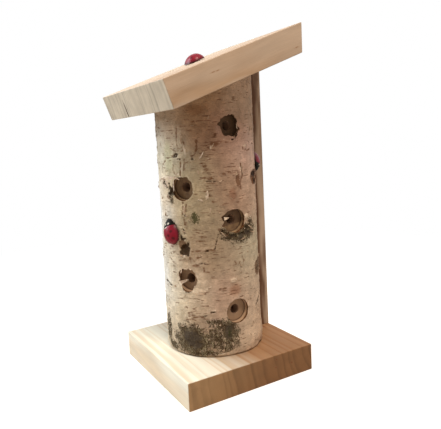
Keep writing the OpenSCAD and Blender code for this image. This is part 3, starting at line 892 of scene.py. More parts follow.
# %% Broad colours
# the darker browns high on the trunk, just under the roof, are painted shade of the roof
TONES = [
    (-20, 150, "#e1e7e6"), (-20, 70, "#e3e7e7"), (-20, 225, "#968c81"), (8, 210, "#e7e5ce"),
    (10, 165, "#dbc29b"), (10, 100, "#dcd0b5"), (12, 55, "#dfd0ad"), (-10, 22, "#ddceb4"),
    (40, 225, "#936947"), (42, 195, "#ada483"), (45, 145, "#968f6f"), (45, 110, "#a28368"),
    (45, 60, "#d7c8b3"), (68, 200, "#a78f83"), (62, 150, "#ab9886"), (70, 105, "#a79883"),
    (70, 60, "#af8b78"), (85, 195, "#896f4b"), (95, 165, "#8c624a"), (85, 220, "#9b6b58"),
    (112, 205, "#e1c8bf"), (115, 165, "#d6bfaa"), (118, 105, "#c5bca5"), (115, 65, "#d0bca7"),
    (120, 20, "#e2cdb5"), (60, 248, "#9c8164"), (115, 250, "#c5ac96"), (5, 243, "#ad9b86"),
    (70, 20, "#b8a48e"), (30, 20, "#86694f"), (-60, 60, "#d9cdb6"), (-60, 190, "#d3c9b4"),
    (-95, 120, "#cbb89c"), (-95, 230, "#b7a68a"), (-130, 60, "#c4ab8e"), (-130, 170, "#d2c6ae"),
    (170, 80, "#c4ab90"), (170, 200, "#bd9f86"), (150, 20, "#c7a78b"),
]
PATCHES = [
    (87, 69, 19, 18, "#a0775f", 0.7), (89, 166, 11, 18, "#94674f", 0.5), (3, 180, 18, 16, "#dcc2b0", 0.45),
    (13, 207, 17, 44, "#c6c69c", 0.4), (33, 19, 22, 20, "#4f4a46", 0.4), (10, 118, 14, 8, "#e2c0b4", 0.35),
    (110, 200, 14, 40, "#c9a494", 0.3), (127, 179, 12, 13, "#5a3416", 0.85),
    (36, 225, 8, 30, "#8f7763", 0.3), (45, 5, 34, 5, "#6b4836", 0.75), (50, 252, 34, 14, "#7d5636", 0.5),
    (75, 231, 9, 17, "#b09080", 0.6), (84, 220, 18, 5, "#c29c84", 0.65), (15, 186, 10, 5, "#e6cdbd", 0.5),
]
PORES = [
    (62, 190, 10, 26, 1.0), (88, 182, 13, 22, 0.7), (45, 42, 24, 14, 0.8), (58, 108, 24, 14, 0.6),
    (85, 208, 12, 14, 0.6), (45, 128, 12, 16, 0.5), (70, 60, 12, 16, 0.4), (60, 240, 20, 14, 0.5),
    (-60, 100, 20, 60, 0.7), (-120, 130, 30, 60, 0.7), (160, 60, 20, 30, 0.7),
]


def broad_colour(u, z):
    """Weighted mean of the listed colours, the weight falling with the square of the distance over 19 mm,
    with the soft patches laid over it."""
    wobble_u = u + 7 * hills(u, z, 17, 24, 91)
    wobble_z = z + 9 * hills(u, z, 15, 30, 92)
    colour, weight = np.zeros((u.size, 3)), np.full(u.size, 1e-9)
    for angle, height, tone in TONES:
        share = np.exp(-((wobble_u - arc(angle)) ** 2 + (wobble_z - height) ** 2) / (2 * 19.0 ** 2))
        colour += share[:, None] * np.array(linear(tone)[:3])
        weight += share
    colour /= weight[:, None]
    for angle, height, wide, high, tint, most in PATCHES:
        edge = oval(u, z, angle, height, wide, high) + 1.2 * hills(u, z, 5, 4, 93)
        cover = most * rise(edge, 0.3 * min(wide, high))[:, None]
        colour = colour * (1 - cover) + np.array(linear(tint)[:3]) * cover
    return colour


def pore_share(u, z):
    """How thickly the pores lie, from 0 to 1: a little everywhere, and more in the listed places."""
    share = np.full(u.shape, 0.25)
    for angle, height, wide, high, most in PORES:
        share = np.maximum(share, most * np.exp(-((u - arc(angle)) / wide) ** 2 - ((z - height) / high) ** 2))
    return share


print("broad colours: %d places, %d patches, %d places of pores" % (len(TONES), len(PATCHES), len(PORES)))


# %% [markdown]
# Each point of the skin carries what the material reads. tone holds the broad colour and, as its alpha, how
# thickly the pores lie. around holds the arc, the height and how far the point is sunk. marks holds the
# distances inside the dark, brown and pale marks, and crust the crust, the lichen and the turned-in rims.

# %% Mesh of the bark
FIELD = {"FLOAT_COLOR": "color", "FLOAT_VECTOR": "vector", "FLOAT": "value"}


def attribute(mesh, name, kind, values):
    """Stores one value per point under a name that the material reads."""
    layer = mesh.attributes.new(name, kind, "POINT")
    layer.data.foreach_set(FIELD[kind], np.ascontiguousarray(values, dtype=np.float32).ravel())


bark_mesh = bpy.data.meshes.new("bark")
bark_mesh.from_pydata(bark_points.tolist(), [], faces.tolist())
bark_mesh.shade_smooth()
tone = broad_colour(u, z)
attribute(bark_mesh, "tone", "FLOAT_COLOR", np.column_stack([tone, pore_share(u, z)]))
attribute(bark_mesh, "around", "FLOAT_VECTOR", np.column_stack([u, z, sink]))
marks = [deepest(u, z, DARK_OVALS, DARK_STROKES), deepest(u, z, BROWN_OVALS, BROWN_STROKES),
         deepest(u, z, PALE_OVALS, PALE_STROKES)]
attribute(bark_mesh, "marks", "FLOAT_VECTOR", np.clip(np.stack(marks, 1), -6, 6))
lichen = np.maximum(oval(u, z, 77.5, 26, 6, 18) - 1.6,
                    oval(u, z, 44.3, 145.3, 9, 10) + 1.8 * hills(u, z, 1.9, 1.9, 77))
attribute(bark_mesh, "crust", "FLOAT_VECTOR", np.stack([crust_density(u, z), lichen, torn], 1))
bark = placed("bark", bark_mesh)
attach(bark, "root")
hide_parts("birch_bark")
print("bark: %d faces, radius %.1f to %.1f mm" % (len(faces), radius.min(), radius.max()))

# %% [markdown]
# Birch bark is paper-thin layers of cork. Its pores, the lenticels, are level dashes 4 to 12 mm long and
# about 1 mm high, brown and slightly sunken, and they gather in bands. All of its patterns are noise over
# the unrolled bark, with lumps as wide and high as the real thing: (width and height in mm, detail,
# roughness, distortion).

# %% Patterns of the bark
birch_bark, tree = new_material("birch bark")
around = add(tree, "Attribute", attribute_name="around").outputs["Vector"]
toned = add(tree, "Attribute", attribute_name="tone").outputs
tone, gathered = toned["Color"], toned["Alpha"]
marks = add(tree, "Attribute", attribute_name="marks").outputs["Vector"]
dark, brown, pale = add(tree, "SeparateXYZ", (marks,)).outputs
crust = add(tree, "Attribute", attribute_name="crust").outputs["Vector"]
crusty, green, torn = add(tree, "SeparateXYZ", (crust,)).outputs
LUMPS = {
    "dash": (7.5, 1.5, 0.8, 0.5, 0.1), "band": (24, 15, 1.0, 0.5, 0.0), "grit": (2.2, 1.4, 4.0, 0.65, 0.0),
    "paper": (20, 0.6, 2.0, 0.5, 0.0), "blot": (8, 12, 3.0, 0.6, 0.0), "flake": (11, 6.5, 3.0, 0.55, 0.4),
    "crumbs": (3.4, 3.0, 4.0, 0.65, 1.2), "hairs": (2.4, 6.5, 3.0, 0.6, 2.6),
    "threads": (4.2, 8.0, 2.0, 0.6, 3.0),
}
noises = []
for wide, high, detail, roughness, distortion in LUMPS.values():
    scaled = add(tree, "VectorMath", (around, (1 / wide, 1 / high, 1)), operation="MULTIPLY")
    noises.append(add(tree, "TexNoise", {"Vector": scaled, "Scale": 1.0, "Detail": detail,
                                         "Roughness": roughness, "Distortion": distortion}))
dash, band, grit, paper, blot, flake, crumbs, hairs, threads = noises
print("bark patterns:", ", ".join(LUMPS))

# %% [markdown]
# The marks go on from the outside in: the broad colour with its pores, then pale torn paper, brown inner
# bark and near-black knots. Crumbly noise is added to each mark's distance, which frays its edge.

# %% Colours of the bark
pores = add(tree, "Math", (band, 0.5, dash), operation="MULTIPLY_ADD")
pores = add(tree, "Math", (gathered, 0.14, pores), operation="MULTIPLY_ADD")
lenticel = add(tree, "MapRange", (pores, 0.955, 1.02), **SOFT)
peeled = add(tree, "MapRange", (flake, 0.52, 0.55), **SOFT)
colour = tone
for value, start, end, low, high in ((blot, 0.3, 0.7, 0.82, 1.16), (grit, 0.3, 0.7, 0.86, 1.12),
                                     (paper, 0.3, 0.7, 0.93, 1.05), (peeled, 0.0, 1.0, 0.95, 1.05)):
    shade = add(tree, "MapRange", (value, start, end, low, high))
    colour = add(tree, "VectorMath", (colour, shade), operation="SCALE")
pore_cover = add(tree, "Math", (lenticel, 0.72), operation="MULTIPLY")
colour = add(tree, "Mix", (pore_cover, colour, linear("#6a4a34")), **RGB)

edge = add(tree, "MapRange", (crumbs, 0.25, 0.75, -1.3, 1.3))
speckle = add(tree, "MapRange", (grit, 0.35, 0.65), **SOFT)
knot_tint = add(tree, "Mix", (speckle, linear("#1d0e03"), linear("#3b2510")), **RGB)
for field, low, high, most, frayed_by, tint in ((pale, -0.2, 0.8, 0.7, 0.8, linear("#e6d6c0")),
                                                (brown, -0.65, 0.45, 0.74, 0.5, linear("#664228")),
                                                (dark, -0.3, 0.5, 0.93, 0.85, knot_tint)):
    frayed = add(tree, "Math", (edge, frayed_by, field), operation="MULTIPLY_ADD")
    mark_cover = add(tree, "MapRange", (frayed, low, high, 0.0, most))
    colour = add(tree, "Mix", (mark_cover, colour, tint), **RGB)
knot_cover = mark_cover
print("birch bark with its marks: %d nodes" % len(tree.nodes))

# %% [markdown]
# The crust is near-black crumbs and upright hairs of old bark, a little grey where it lies thickest and
# green where lichen grows. Pale threads of bark wind through it, along the lines where a twisted noise
# passes its middle value. Last, the turned-in rims show the fresh brown wood side of the bark.

# %% Crust, lichen and rims
black = add(tree, "MapRange", (grit, 0.3, 0.7), **SOFT)
black = add(tree, "Mix", (black, linear("#1f1407"), linear("#50402a")), **RGB)
thick = add(tree, "MapRange", (crusty, 0.9, 1.25, 0.0, 0.55), **SOFT)
black = add(tree, "Mix", (thick, black, linear("#403b37")), **RGB)
mossy = add(tree, "MapRange", (green, -1.0, 3.0, 0.0, 0.35))
black = add(tree, "Mix", (mossy, black, linear("#33381f")), **RGB)
cover = add(tree, "Math", (crumbs, 2.4, crusty), operation="MULTIPLY_ADD")
cover = add(tree, "Math", (hairs, 2.8, cover), operation="MULTIPLY_ADD")
crust_cover = add(tree, "MapRange", (cover, 2.72, 3.1, 0.0, 0.93), **SOFT)
colour = add(tree, "Mix", (crust_cover, colour, black), **RGB)

from_line = add(tree, "Math", (threads, 0.5), operation="SUBTRACT")
from_line = add(tree, "Math", (from_line,), operation="ABSOLUTE")
thread = crust_cover
for value, low, high, start, end in ((from_line, 0.008, 0.040, 1.0, 0.0), (crusty, 0.7, 1.2, 0.85, 0.12),
                                     (blot, 0.38, 0.58, 0.15, 1.0)):
    part = add(tree, "MapRange", (value, low, high, start, end), **SOFT)
    thread = add(tree, "Math", (thread, part), operation="MULTIPLY")
colour = add(tree, "Mix", (thread, colour, linear("#c8bd9d")), **RGB)
lichen = add(tree, "Math", (hairs, 14.0, green), operation="MULTIPLY_ADD")
lichen = add(tree, "MapRange", (lichen, 6.5, 8.2, 0.0, 0.88), **SOFT)
colour = add(tree, "Mix", (lichen, colour, linear("#3a3b1b")), **RGB)
rim = add(tree, "Mix", (speckle, linear("#3f2413"), linear("#8a6242")), **RGB)
colour = add(tree, "Mix", (torn, colour, rim), **RGB)
print("birch bark with its crust: %d nodes" % len(tree.nodes))

# %% [markdown]
# Bark is rough and dry, so it has next to no shine. Its finest relief is a bump: pores and knots are
# sunken, and grit, paper edges and crust stand out.

# %% Relief and finish of the bark
height = grit
for field, amount in ((lenticel, -0.45), (paper, 0.35), (peeled, -0.4)):
    height = add(tree, "Math", (field, amount, height), operation="MULTIPLY_ADD")
rocky = add(tree, "Math", (crumbs, crust_cover), operation="MULTIPLY")
for field, amount in ((rocky, 2.0), (knot_cover, -0.8)):
    height = add(tree, "Math", (field, amount, height), operation="MULTIPLY_ADD")
bump = add(tree, "Bump", {"Strength": 0.8, "Distance": 0.0006, "Height": height})
rough = add(tree, "MapRange", (paper, 0.3, 0.7, 0.6, 0.8))
shader = add(tree, "BsdfPrincipled", {"Base Color": colour, "Roughness": rough, "IOR": 1.45,
                                      "Specular IOR Level": 0.1, "Normal": bump})
add(tree, "OutputMaterial", {"Surface": shader})
bark_mesh.materials.append(birch_bark)
print("birch bark: %d nodes" % len(tree.nodes))

# %% [markdown]
# Here and there the outermost paper has come loose and curls away from the trunk. A curl is a strip that
# stays fixed along one line on the bark and rolls off it on a small arc, so it needs two numbers: how far
# along the fixed line, and how far round the roll. A Solidify modifier gives it the thickness of bark.
# A curl is listed as (start, end, reach in mm, roll in degrees, bluntness, freshness), and the last two
# may be left out. Bluntness is how quickly its ends narrow, and fresh paper is paler.

# %% Shape of a curl
def on_bark(angle, height, lift=0.0):
    """The point on the skin at an angle and a height, in mm, with its outward direction."""
    u = arc(angle)
    radius = bark_radius(u, height) + lift
    outward = np.stack([np.sin(u / LOG_R), -np.cos(u / LOG_R), np.zeros_like(u)], -1)
    place = outward * radius[..., None]
    place[..., 2] = BASE_T + height
    return place, outward


def curl(start, end, reach, roll, seed, blunt):
    """A strip fixed on the line from start to end. Across it turns on an arc: sideways by r sin a and off
    the bark by r (1 - cos a), where r is 1.35 times the reach over the roll's angle. Its free edge is
    frayed, and its ends narrow with the sine of the way along, to the power blunt."""
    t = np.linspace(0, 1, 14)[:, None]
    s = np.linspace(0, 1, 9)[None, :]
    angle = start[0] + (end[0] - start[0]) * t + 0 * s
    height = start[1] + (end[1] - start[1]) * t + 0 * s
    line, outward = on_bark(angle, height, 0.05)
    direction = line[-1, 0] - line[0, 0]
    direction = direction / np.linalg.norm(direction)
    side = np.cross(direction, outward)
    fray = 0.75 + 0.35 * hills(t * 9 + 0 * s, 0 * t + 0 * s, 1.0, 1.0, seed)
    ends = np.sin(np.pi * np.clip(t, 0.02, 0.98)) ** blunt
    a = math.radians(roll) * s
    r = 1.35 * reach * fray * ends / max(math.radians(roll), 0.05)
    return line + side * (r * np.sin(a))[..., None] + outward * (r * (1 - np.cos(a)))[..., None]


CURLS = [
    ((33.8, 230), (33.8, 219), 1.4, 70), ((51.9, 203.5), (57.2, 210.7), 1.6, 80, 0.35, 0.6),
    ((69.6, 218), (66.6, 213), 1.4, 90), ((59.6, 164), (59.3, 172), 1.8, 90, 0.35, 0.7),
    ((54.4, 162), (49, 163.6), 1.8, 80, 0.35, 0.8), ((103, 197), (104.5, 186), 1.8, 70),
    ((110, 133), (118, 128), 3.0, 150, 0.35, 0.6), ((113, 126.5), (121, 124.5), 2.4, 140),
    ((104, 120.5), (98, 119), 1.8, 90), ((78, 124), (72, 130), 1.6, 90),
    ((90, 77), (81, 77.2), 3.0, 35, 0.35, 0.6), ((77.6, 141.2), (77.2, 144.6), 4.0, 6, 1.0, 1.0),
    ((22.4, 76), (20.9, 79.2), 12.5, 8, 1.0, 0.2), ((19.8, 172), (19.3, 183), 1.8, 60, 0.35, 0.6),
    ((22.5, 88), (24, 92), 2.0, 60), ((44, 68.8), (51, 68.3), 1.6, 60),
    ((98.2, 236), (99.6, 231.5), 1.4, 60, 0.35, 0.5), ((33.6, 157), (33.2, 150), 1.6, 60),
    ((28, 183.5), (19, 186), 2.0, 60, 0.35, 0.6), ((9, 169), (13, 164), 2.0, 90),
    ((-8, 184.5), (4, 186), 1.8, 60), ((24, 107.5), (28, 106.5), 2.0, 80), ((60, 31), (52, 30), 1.8, 50),
    ((-55, 127), (-66, 128), 3.0, 90), ((-113, 213), (-124, 212), 3.4, 110),
    ((-97.5, 190), (-96.5, 177), 2.6, 80), ((160, 128), (169, 128.5), 3.0, 90),
    ((-70, 60), (-63, 66), 2.4, 70), ((-128, 74), (-140, 75), 3.2, 100), ((-100, 250), (-99, 238), 2.6, 80),
    ((169, 190), (168.5, 175), 2.4, 70), ((-40, 100), (-32, 102), 2.2, 70),
]
LISTED = len(CURLS)

# %% [markdown]
# Besides the listed curls, small ones lie all over the trunk at random, wherever there is room between
# the holes, the ladybirds and the roof.

# %% Curls
# a curl's middle keeps this far from a hole's axis, a ladybird's middle and the roof, in mm
HOLE_ROOM, BUG_ROOM, ROOF_ROOM = 15, 17, 6
SPARE_CURLS, USUAL = 150, (0.35, 0.25)
dice = np.random.default_rng(77)
for _ in range(SPARE_CURLS):
    angle, height, lean = dice.uniform(-155, 172), dice.uniform(5, 250), dice.uniform(0, 2 * np.pi)
    half = dice.uniform(0.8, 2.6)
    room = [np.hypot(arc(angle - a), height - h) - HOLE_ROOM for a, h, *_ in HOLES]
    room += [np.hypot(arc(angle - a), height - h) - BUG_ROOM for a, h, _ in (FRONT_BUG, SIDE_BUG)]
    if min(room) > 0 and height < log_top(arc(angle)) - ROOF_ROOM:
        step = math.degrees(half * math.cos(lean) / LOG_R), half * math.sin(lean)
        CURLS.append(((angle - step[0], height - step[1]), (angle + step[0], height + step[1]),
                      dice.uniform(0.6, 1.6), dice.uniform(40, 130)))

curl_points, curl_faces, curl_fresh, first = [], [], [], 0
for seed, (start, end, reach, roll, *more) in enumerate(CURLS):
    blunt, fresh = more or USUAL
    sheet = curl(start, end, reach, roll, 120 + seed, blunt)
    rows, columns = sheet.shape[:2]
    index = first + np.arange(rows * columns).reshape(rows, columns)
    curl_points.append(sheet.reshape(-1, 3))
    quads = np.stack([index[:-1, :-1], index[:-1, 1:], index[1:, 1:], index[1:, :-1]], -1)
    curl_faces.append(quads.reshape(-1, 4))
    curl_fresh.append(np.full(rows * columns, fresh))
    first += rows * columns
curl_mesh = bpy.data.meshes.new("bark_curls")
curl_mesh.from_pydata((np.concatenate(curl_points) / 1000).tolist(), [], np.concatenate(curl_faces).tolist())
curl_mesh.shade_smooth()
attribute(curl_mesh, "fresh", "FLOAT", np.concatenate(curl_fresh))
curls = placed("bark_curls", curl_mesh)
thicken = curls.modifiers.new("thickness", "SOLIDIFY")
thicken.thickness = 0.00035
thicken.offset = 0.0
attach(curls, "root")
print("bark curls: %d listed, %d more" % (LISTED, len(CURLS) - LISTED))

# %% [markdown]
# Torn bark is matt and dry, like rough paper: brown where it is old, and nearly white where it is fresh.

# %% Torn bark
torn_paper, tree = new_material("torn birch bark")
# flecks of about 2.4 mm
place = add(tree, "TexCoord").outputs["Object"]
fine = add(tree, "TexNoise", {"Vector": place, "Scale": 420.0, "Detail": 3.0})
fresh = add(tree, "Attribute", attribute_name="fresh").outputs["Fac"]
old = add(tree, "Mix", (fine, linear("#b79f86"), linear("#8d7054")), **RGB)
new = add(tree, "Mix", (fine, linear("#efe3d2"), linear("#c9ad8e")), **RGB)
colour = add(tree, "Mix", (fresh, old, new), **RGB)
bump = add(tree, "Bump", {"Strength": 0.5, "Distance": 0.0003, "Height": fine})
shader = add(tree, "BsdfPrincipled", {"Base Color": colour, "Roughness": 0.75, "Normal": bump})
add(tree, "OutputMaterial", {"Surface": shader})
curl_mesh.materials.append(torn_paper)
print("torn bark: %d nodes" % len(tree.nodes))

# %% [markdown]
# The ladybirds are dipped in red lacquer and dotted by hand. Lacquer is glossy and pools at the lower
# edge, which is painted darker there, partly for the pooled lacquer and partly as painted shade where the
# body meets the surface, and the black head is a thinner, duller paint. The paint is drawn like the
# marks on the bark: each point carries its distance inside the black, the white and the dots.

# %% Lacquer
lacquer, tree = new_material("red and black lacquer")
paint = add(tree, "Attribute", attribute_name="paint").outputs["Vector"]
black, white, spots = add(tree, "SeparateXYZ", (paint,)).outputs
above = add(tree, "Attribute", attribute_name="above").outputs["Fac"]
# brush marks of about 4 mm
place = add(tree, "TexCoord").outputs["Object"]
brush = add(tree, "TexNoise", {"Vector": place, "Scale": 260.0, "Detail": 2.0})
colour = add(tree, "Mix", (brush, linear("#760a1e"), linear("#90102a")), **RGB)
# pooled lacquer and painted shade: darker within 3 mm of the flat back, along the lower edge
pool_and_shade = add(tree, "MapRange", (above, 0.3, 3.0, 0.95, 0.0))
colour = add(tree, "Mix", (pool_and_shade, colour, linear("#3c070e")), **RGB)
dot = add(tree, "MapRange", (spots, -0.5, 0.5, 0.0, 0.85))
colour = add(tree, "Mix", (dot, colour, linear("#4a040a")), **RGB)
head = add(tree, "MapRange", (black, -0.15, 0.15))
colour = add(tree, "Mix", (head, colour, linear("#120e08")), **RGB)
eyes = add(tree, "MapRange", (white, -0.08, 0.08))
colour = add(tree, "Mix", (eyes, colour, linear("#cfc6b4")), **RGB)
gloss = add(tree, "MapRange", {"Value": head, "To Min": 0.22, "To Max": 0.08})
rough = add(tree, "MapRange", {"Value": head, "To Min": 0.33, "To Max": 0.5})
bump = add(tree, "Bump", {"Strength": 0.15, "Distance": 0.0003, "Height": brush})
shader = add(tree, "BsdfPrincipled", {"Base Color": colour, "Roughness": rough, "IOR": 1.5,
                                      "Specular IOR Level": gloss, "Normal": bump})
add(tree, "OutputMaterial", {"Surface": shader})
print("lacquer: %d nodes" % len(tree.nodes))

# %% [markdown]
# A ladybird is half an egg of turned wood. Its height over its flat back is that of the CAD egg, and its
# lower edge is rounded. A seam runs down between its wings, and a groove sets off its head.

# %% Shape of a ladybird
BUG_L, BUG_W, BUG_H, BUG_TAPER, PAD_T = 28.5, 21.3, 7.8, 0.2, 0.7
BUG_R = (BUG_W ** 2 / 4 + BUG_H ** 2) / (2 * BUG_H)


def egg_height(x, y):
    """Height over the flat back: the egg's circle at y, whose middle lies below the back, at x."""
    t = np.clip(y / (BUG_L / 2), -1, 1)
    r = BUG_R * np.sqrt(1 - t * t) * (1 - BUG_TAPER * t)
    return np.sqrt(np.maximum(r * r - x * x, 0)) - (BUG_R - BUG_H)


def egg_reach(way):
    """How far the outline lies from the middle in each direction, by halving the interval 30 times."""
    low, high = np.zeros_like(way), np.full_like(way, BUG_L)
    for _ in range(30):
        middle = (low + high) / 2
        inside = egg_height(middle * np.sin(way), middle * np.cos(way)) > 0
        low, high = np.where(inside, middle, low), np.where(inside, high, middle)
    return low


def head_line(x, lean):
    """Where the black head begins, as a height up the body for each place across it: an arch that leans."""
    return 5.4 + lean * x - 0.02 * x * x


print("ladybird: %.1f x %.1f x %.1f mm" % (BUG_L, BUG_W, BUG_H))

# %% [markdown]
# The body is a stack of rings with one point in each direction: down the dome, under its edge, and in over
# the flat back. The first and the last ring shrink to one place, so their points are merged there.

# %% Building a ladybird
SEAM, NECK, AROUND = 0.28, 0.3, 128
EYE_X, EYE_Y, EYE_R = 1.95, 8.1, 1.0


def smoothed(mesh, merge):
    """Merges the points of a grid that coincide, closes open ends and turns all faces outwards."""
    shape = bmesh.new()
    shape.from_mesh(mesh)
    bmesh.ops.remove_doubles(shape, verts=shape.verts, dist=merge)
    bmesh.ops.holes_fill(shape, edges=shape.edges, sides=0)
    bmesh.ops.recalc_face_normals(shape, faces=shape.faces)
    shape.to_mesh(mesh)
    shape.free()
    mesh.shade_smooth()


def ladybird(name, node, axes, origin, dots, seed, lean=0.0, gaze=0.0):
    """Rings from the top of the dome to its outline, then under it to the middle of the flat back. Seam and
    neck are grooves whose depth falls off as e^-(distance / width)^2."""
    way = np.linspace(0, 2 * np.pi, AROUND, endpoint=False)[None, :]
    reach = egg_reach(way)
    edge_x, edge_y = reach * np.sin(way), reach * np.cos(way)
    s = np.sin(np.linspace(0, np.pi / 2, 40))[1:, None]
    x, y = s * edge_x, s * edge_y
    z = egg_height(x, y)
    seam = np.exp(-(x / 0.45) ** 2) * (y < 4.0) * rise(z, 1.5)
    neck = np.exp(-((y - head_line(x, lean)) / 0.5) ** 2) * rise(z, 1.0)
    z = z - SEAM * seam - NECK * neck + 0.05 * hills(x + 40, y + 40, 5, 5, seed)
    z = np.maximum(z, 0.25)
    middle = np.zeros((1, AROUND))
    x = np.concatenate([middle, x, 0.985 * edge_x, 0.94 * edge_x, middle])
    y = np.concatenate([middle, y, 0.985 * edge_y, 0.94 * edge_y, middle])
    z = np.concatenate([middle + BUG_H - SEAM, z, middle + 0.06, middle, middle])

    black = y - head_line(x, lean)
    spots = np.max([radius - np.hypot(x - dx, y - dy) for dx, dy, radius in dots], axis=0)
    # two round eyes, and a white dash behind the head
    eyes = EYE_R - np.hypot(np.abs(x - gaze) - EYE_X, y - EYE_Y)
    white = np.maximum(eyes, 0.7 - np.hypot((x + 0.4) / 3.0, black + 0.7))
    white = np.where(z < 1.0, -1.0, white)
    points = origin + x[..., None] * axes[0] + y[..., None] * axes[1] + z[..., None] * axes[2]
    index = np.arange(x.size).reshape(x.shape)
    faces = np.concatenate([ring_faces(index[k], index[k + 1]) for k in range(len(index) - 1)])
    mesh = bpy.data.meshes.new(name)
    mesh.from_pydata((points.reshape(-1, 3) / 1000).tolist(), [], faces.tolist())
    attribute(mesh, "paint", "FLOAT_VECTOR", np.stack([black.ravel(), white.ravel(), spots.ravel()], 1))
    attribute(mesh, "above", "FLOAT", z.ravel())
    smoothed(mesh, 1e-6)
    mesh.materials.append(lacquer)
    piece = placed(name, mesh)
    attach(piece, "root")
    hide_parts(node)
    print("%s: %d faces" % (name, len(mesh.polygons)))


# %% [markdown]
# Each ladybird has its own place and turn. The one on the front looks a little to one side, and each head's
# border leans its own way, as hand-painted borders do.

# %% Ladybirds
ROOF_T = 27.5


def turned_axes(sideways, upwards, outward, turn):
    """Right, head and outward directions of a ladybird that is turned by an angle on its surface."""
    t = math.radians(turn)
    return (math.cos(t) * sideways + math.sin(t) * upwards, math.cos(t) * upwards - math.sin(t) * sideways,
            outward)


def on_log(angle, height, turn):
    """The axes of a ladybird on the log, and the middle of its flat back."""
    a = math.radians(angle)
    sideways, outward = np.array([math.cos(a), math.sin(a), 0]), np.array([math.sin(a), -math.cos(a), 0])
    axes = turned_axes(sideways, np.array([0, 0, 1.0]), outward, turn)
    return axes, outward * (LOG_R + PAD_T) + np.array([0, 0, BASE_T + height])


def on_roof_top(x, along, turn):
    """The same on the roof's sloping top."""
    c, s = math.cos(SLOPE), math.sin(SLOPE)
    sideways, upwards, outward = np.array([1.0, 0, 0]), np.array([0, c, s]), np.array([0, -s, c])
    axes = turned_axes(sideways, upwards, outward, turn)
    foot = np.array([0, 0, BASE_T + LOG_H])
    return axes, foot + x * sideways + along * upwards + (ROOF_T + PAD_T) * outward


DOTS = [(sx * x, y, 1.35) for sx in (-1, 1) for x, y in ((6.3, -0.4), (2.8, -3.9), (6.1, -7.8))]
ladybird("front_ladybird", "ladybird_front", *on_log(*FRONT_BUG), DOTS, 31, 0.2, 1.1)
ladybird("side_ladybird", "ladybird_side", *on_log(*SIDE_BUG), DOTS, 32, 0.6)
ladybird("roof_ladybird", "ladybird_roof", *on_roof_top(*ROOF_BUG), DOTS, 33)

# %% [markdown]
# The glue under each ladybird is hot-melt: clear, yellowish and a little waxy.

# %% Glue
glue, tree = new_material("hot-melt glue")
# waxy clouds of about 3.3 mm
place = add(tree, "TexCoord").outputs["Object"]
wax = add(tree, "TexNoise", {"Vector": place, "Scale": 300.0, "Detail": 2.0})
colour = add(tree, "Mix", (wax, linear("#cdbb8e"), linear("#e2d6b4")), **RGB)
bump = add(tree, "Bump", {"Strength": 0.4, "Distance": 0.0003, "Height": wax})
shader = add(tree, "BsdfPrincipled", {"Base Color": colour, "Roughness": 0.35, "Normal": bump})
add(tree, "OutputMaterial", {"Surface": shader})
GLUED = ("glue_pad_front", "glue_pad_side", "glue_pad_roof")
for name in GLUED:
    nodes[name].material_slots[0].material = glue
print("glue pads:", len(GLUED))

# %% [markdown]
# The screws are zinc-plated chipboard screws. The plating is bright metal with a faint yellow spangle.
# Only their heads show, sunk a little into the boards, so the cross recess matters most, and the thread is
# a ridge that climbs 2 mm a turn. Both are functions on a grid: the head's face over radius and angle, the
# rest over length and angle.

# %% Zinc and the shape of a screw
SCREW_R, CORE_R, HEAD_R, SINK, THREAD_PITCH = 2.0, 1.45, 4.0, 0.5, 2.0
# the cross recess: half an arm's width, its reach from the middle, and its depth, in mm
ARM_HALF, ARM_REACH, RECESS = 0.62, 2.5, 2.0
SIDES = 48
zinc, tree = new_material("zinc-plated steel")
# spangle of 2 mm
place = add(tree, "TexCoord").outputs["Object"]
spangle = add(tree, "TexNoise", {"Vector": place, "Scale": 500.0, "Detail": 2.0})
colour = add(tree, "Mix", (spangle, linear("#b9b4a4"), linear("#d6cfae")), **RGB)
rough = add(tree, "MapRange", (spangle, 0.3, 0.7, 0.3, 0.5))
shader = add(tree, "BsdfPrincipled", {"Base Color": colour, "Metallic": 1.0, "Roughness": rough})
add(tree, "OutputMaterial", {"Surface": shader})
print("zinc: %d nodes" % len(tree.nodes))


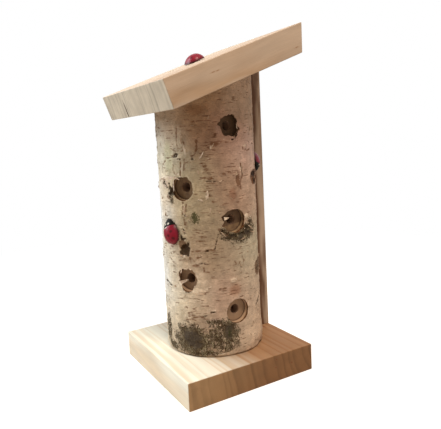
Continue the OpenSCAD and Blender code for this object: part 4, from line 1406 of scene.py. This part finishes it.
def screw_points(length):
    """Rings of points: the recessed face, the cone of the head, the threaded shank and the point. The
    recess is a cross of two bars, and the thread's ridge is a triangle wave of the height less the turn."""
    way = np.linspace(0, 2 * np.pi, SIDES, endpoint=False)[None, :]
    r = np.linspace(0.02, HEAD_R - 0.08, 22)[:, None] + 0 * way
    x, y = np.abs(r * np.cos(way)), np.abs(r * np.sin(way))
    arm = np.clip((ARM_HALF - np.minimum(x, y)) / 0.12, 0, 1)
    arm = arm * np.clip((ARM_REACH - np.maximum(x, y)) / 0.3, 0, 1)
    face = arm * (RECESS - 0.45 * np.maximum(x, y))
    cone_r = np.array([HEAD_R, HEAD_R, SCREW_R])[:, None] + 0 * way
    cone_z = np.array([0.08, 0.3, HEAD_R - SCREW_R + 0.1])[:, None] + 0 * way
    z = np.linspace(HEAD_R - SCREW_R + 0.3, length - 0.2, int(length * 3))[:, None]
    fade = np.clip((length - z) / 4, 0.06, 1)
    ridge = np.abs(((z / THREAD_PITCH - way / (2 * np.pi)) % 1) - 0.5) * 2
    shank_r = fade * (CORE_R + (SCREW_R - CORE_R) * np.clip(ridge * 3 - 2, 0, 1))
    radius = np.concatenate([r, cone_r, shank_r + 0 * way, np.full((1, SIDES), 0.02)])
    depth = np.concatenate([face, cone_z, z + 0 * way, np.full((1, SIDES), float(length))])
    return np.stack([radius * np.cos(way), radius * np.sin(way), depth], -1)


# %% [markdown]
# Screws that are alike share one object, as they share a node in the CAD model: two go up through the base
# board into the log and one into the batten, and it is the same at the roof. Two go through the batten.

# %% Screws
def screw_set(name, node, length, places):
    """One object for a group of equal screws. Each place is a point for the head and the way it points."""
    ring = screw_points(length)
    rows, columns = ring.shape[:2]
    local = ring.reshape(-1, 3)
    points, faces = [], []
    for count, (head, ahead) in enumerate(places):
        ahead = np.array(ahead, float)
        side = np.cross(ahead, (1.0, 0.2, 0.1))
        side /= np.linalg.norm(side)
        third = np.cross(ahead, side)
        points.append(np.array(head) + local[:, :1] * side + local[:, 1:2] * third + local[:, 2:] * ahead)
        index = count * rows * columns + np.arange(rows * columns).reshape(rows, columns)
        faces += [ring_faces(index[k], index[k + 1]) for k in range(rows - 1)]
    mesh = bpy.data.meshes.new(name)
    mesh.from_pydata((np.concatenate(points) / 1000).tolist(), [], np.concatenate(faces).tolist())
    smoothed(mesh, 2e-5)
    mesh.set_sharp_from_angle(angle=math.radians(35))
    mesh.materials.append(zinc)
    piece = placed(name, mesh)
    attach(piece, "root")
    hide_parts(node)
    print("%s: %d screws" % (name, len(places)))


c, s = math.cos(SLOPE), math.sin(SLOPE)


def in_roof(x, along):
    """The head of a screw in the roof's top, at a place across the board and along its slope."""
    out = ROOF_T - SINK
    return (x, c * along - s * out, BASE_T + LOG_H + s * along + c * out)


batten_y = BATTEN_FRONT + 14.0
under_base = [(-22, 0), (22, 0), (BATTEN_X, batten_y)]
over_roof = [(-22, -16), (22, -16), (BATTEN_X, batten_y / c - 5)]
screw_set("screws_under_base", "base_screws", 50, [((x, y, SINK), (0, 0, 1)) for x, y in under_base])
screw_set("screws_in_roof", "roof_screws", 60, [(in_roof(x, along), (0, s, -c)) for x, along in over_roof])
screw_set("screws_in_batten", "back_screws", 45,
          [((BATTEN_X, BATTEN_BACK - SINK, BASE_T + height), (0, -1, 0)) for height in (60, 215)])
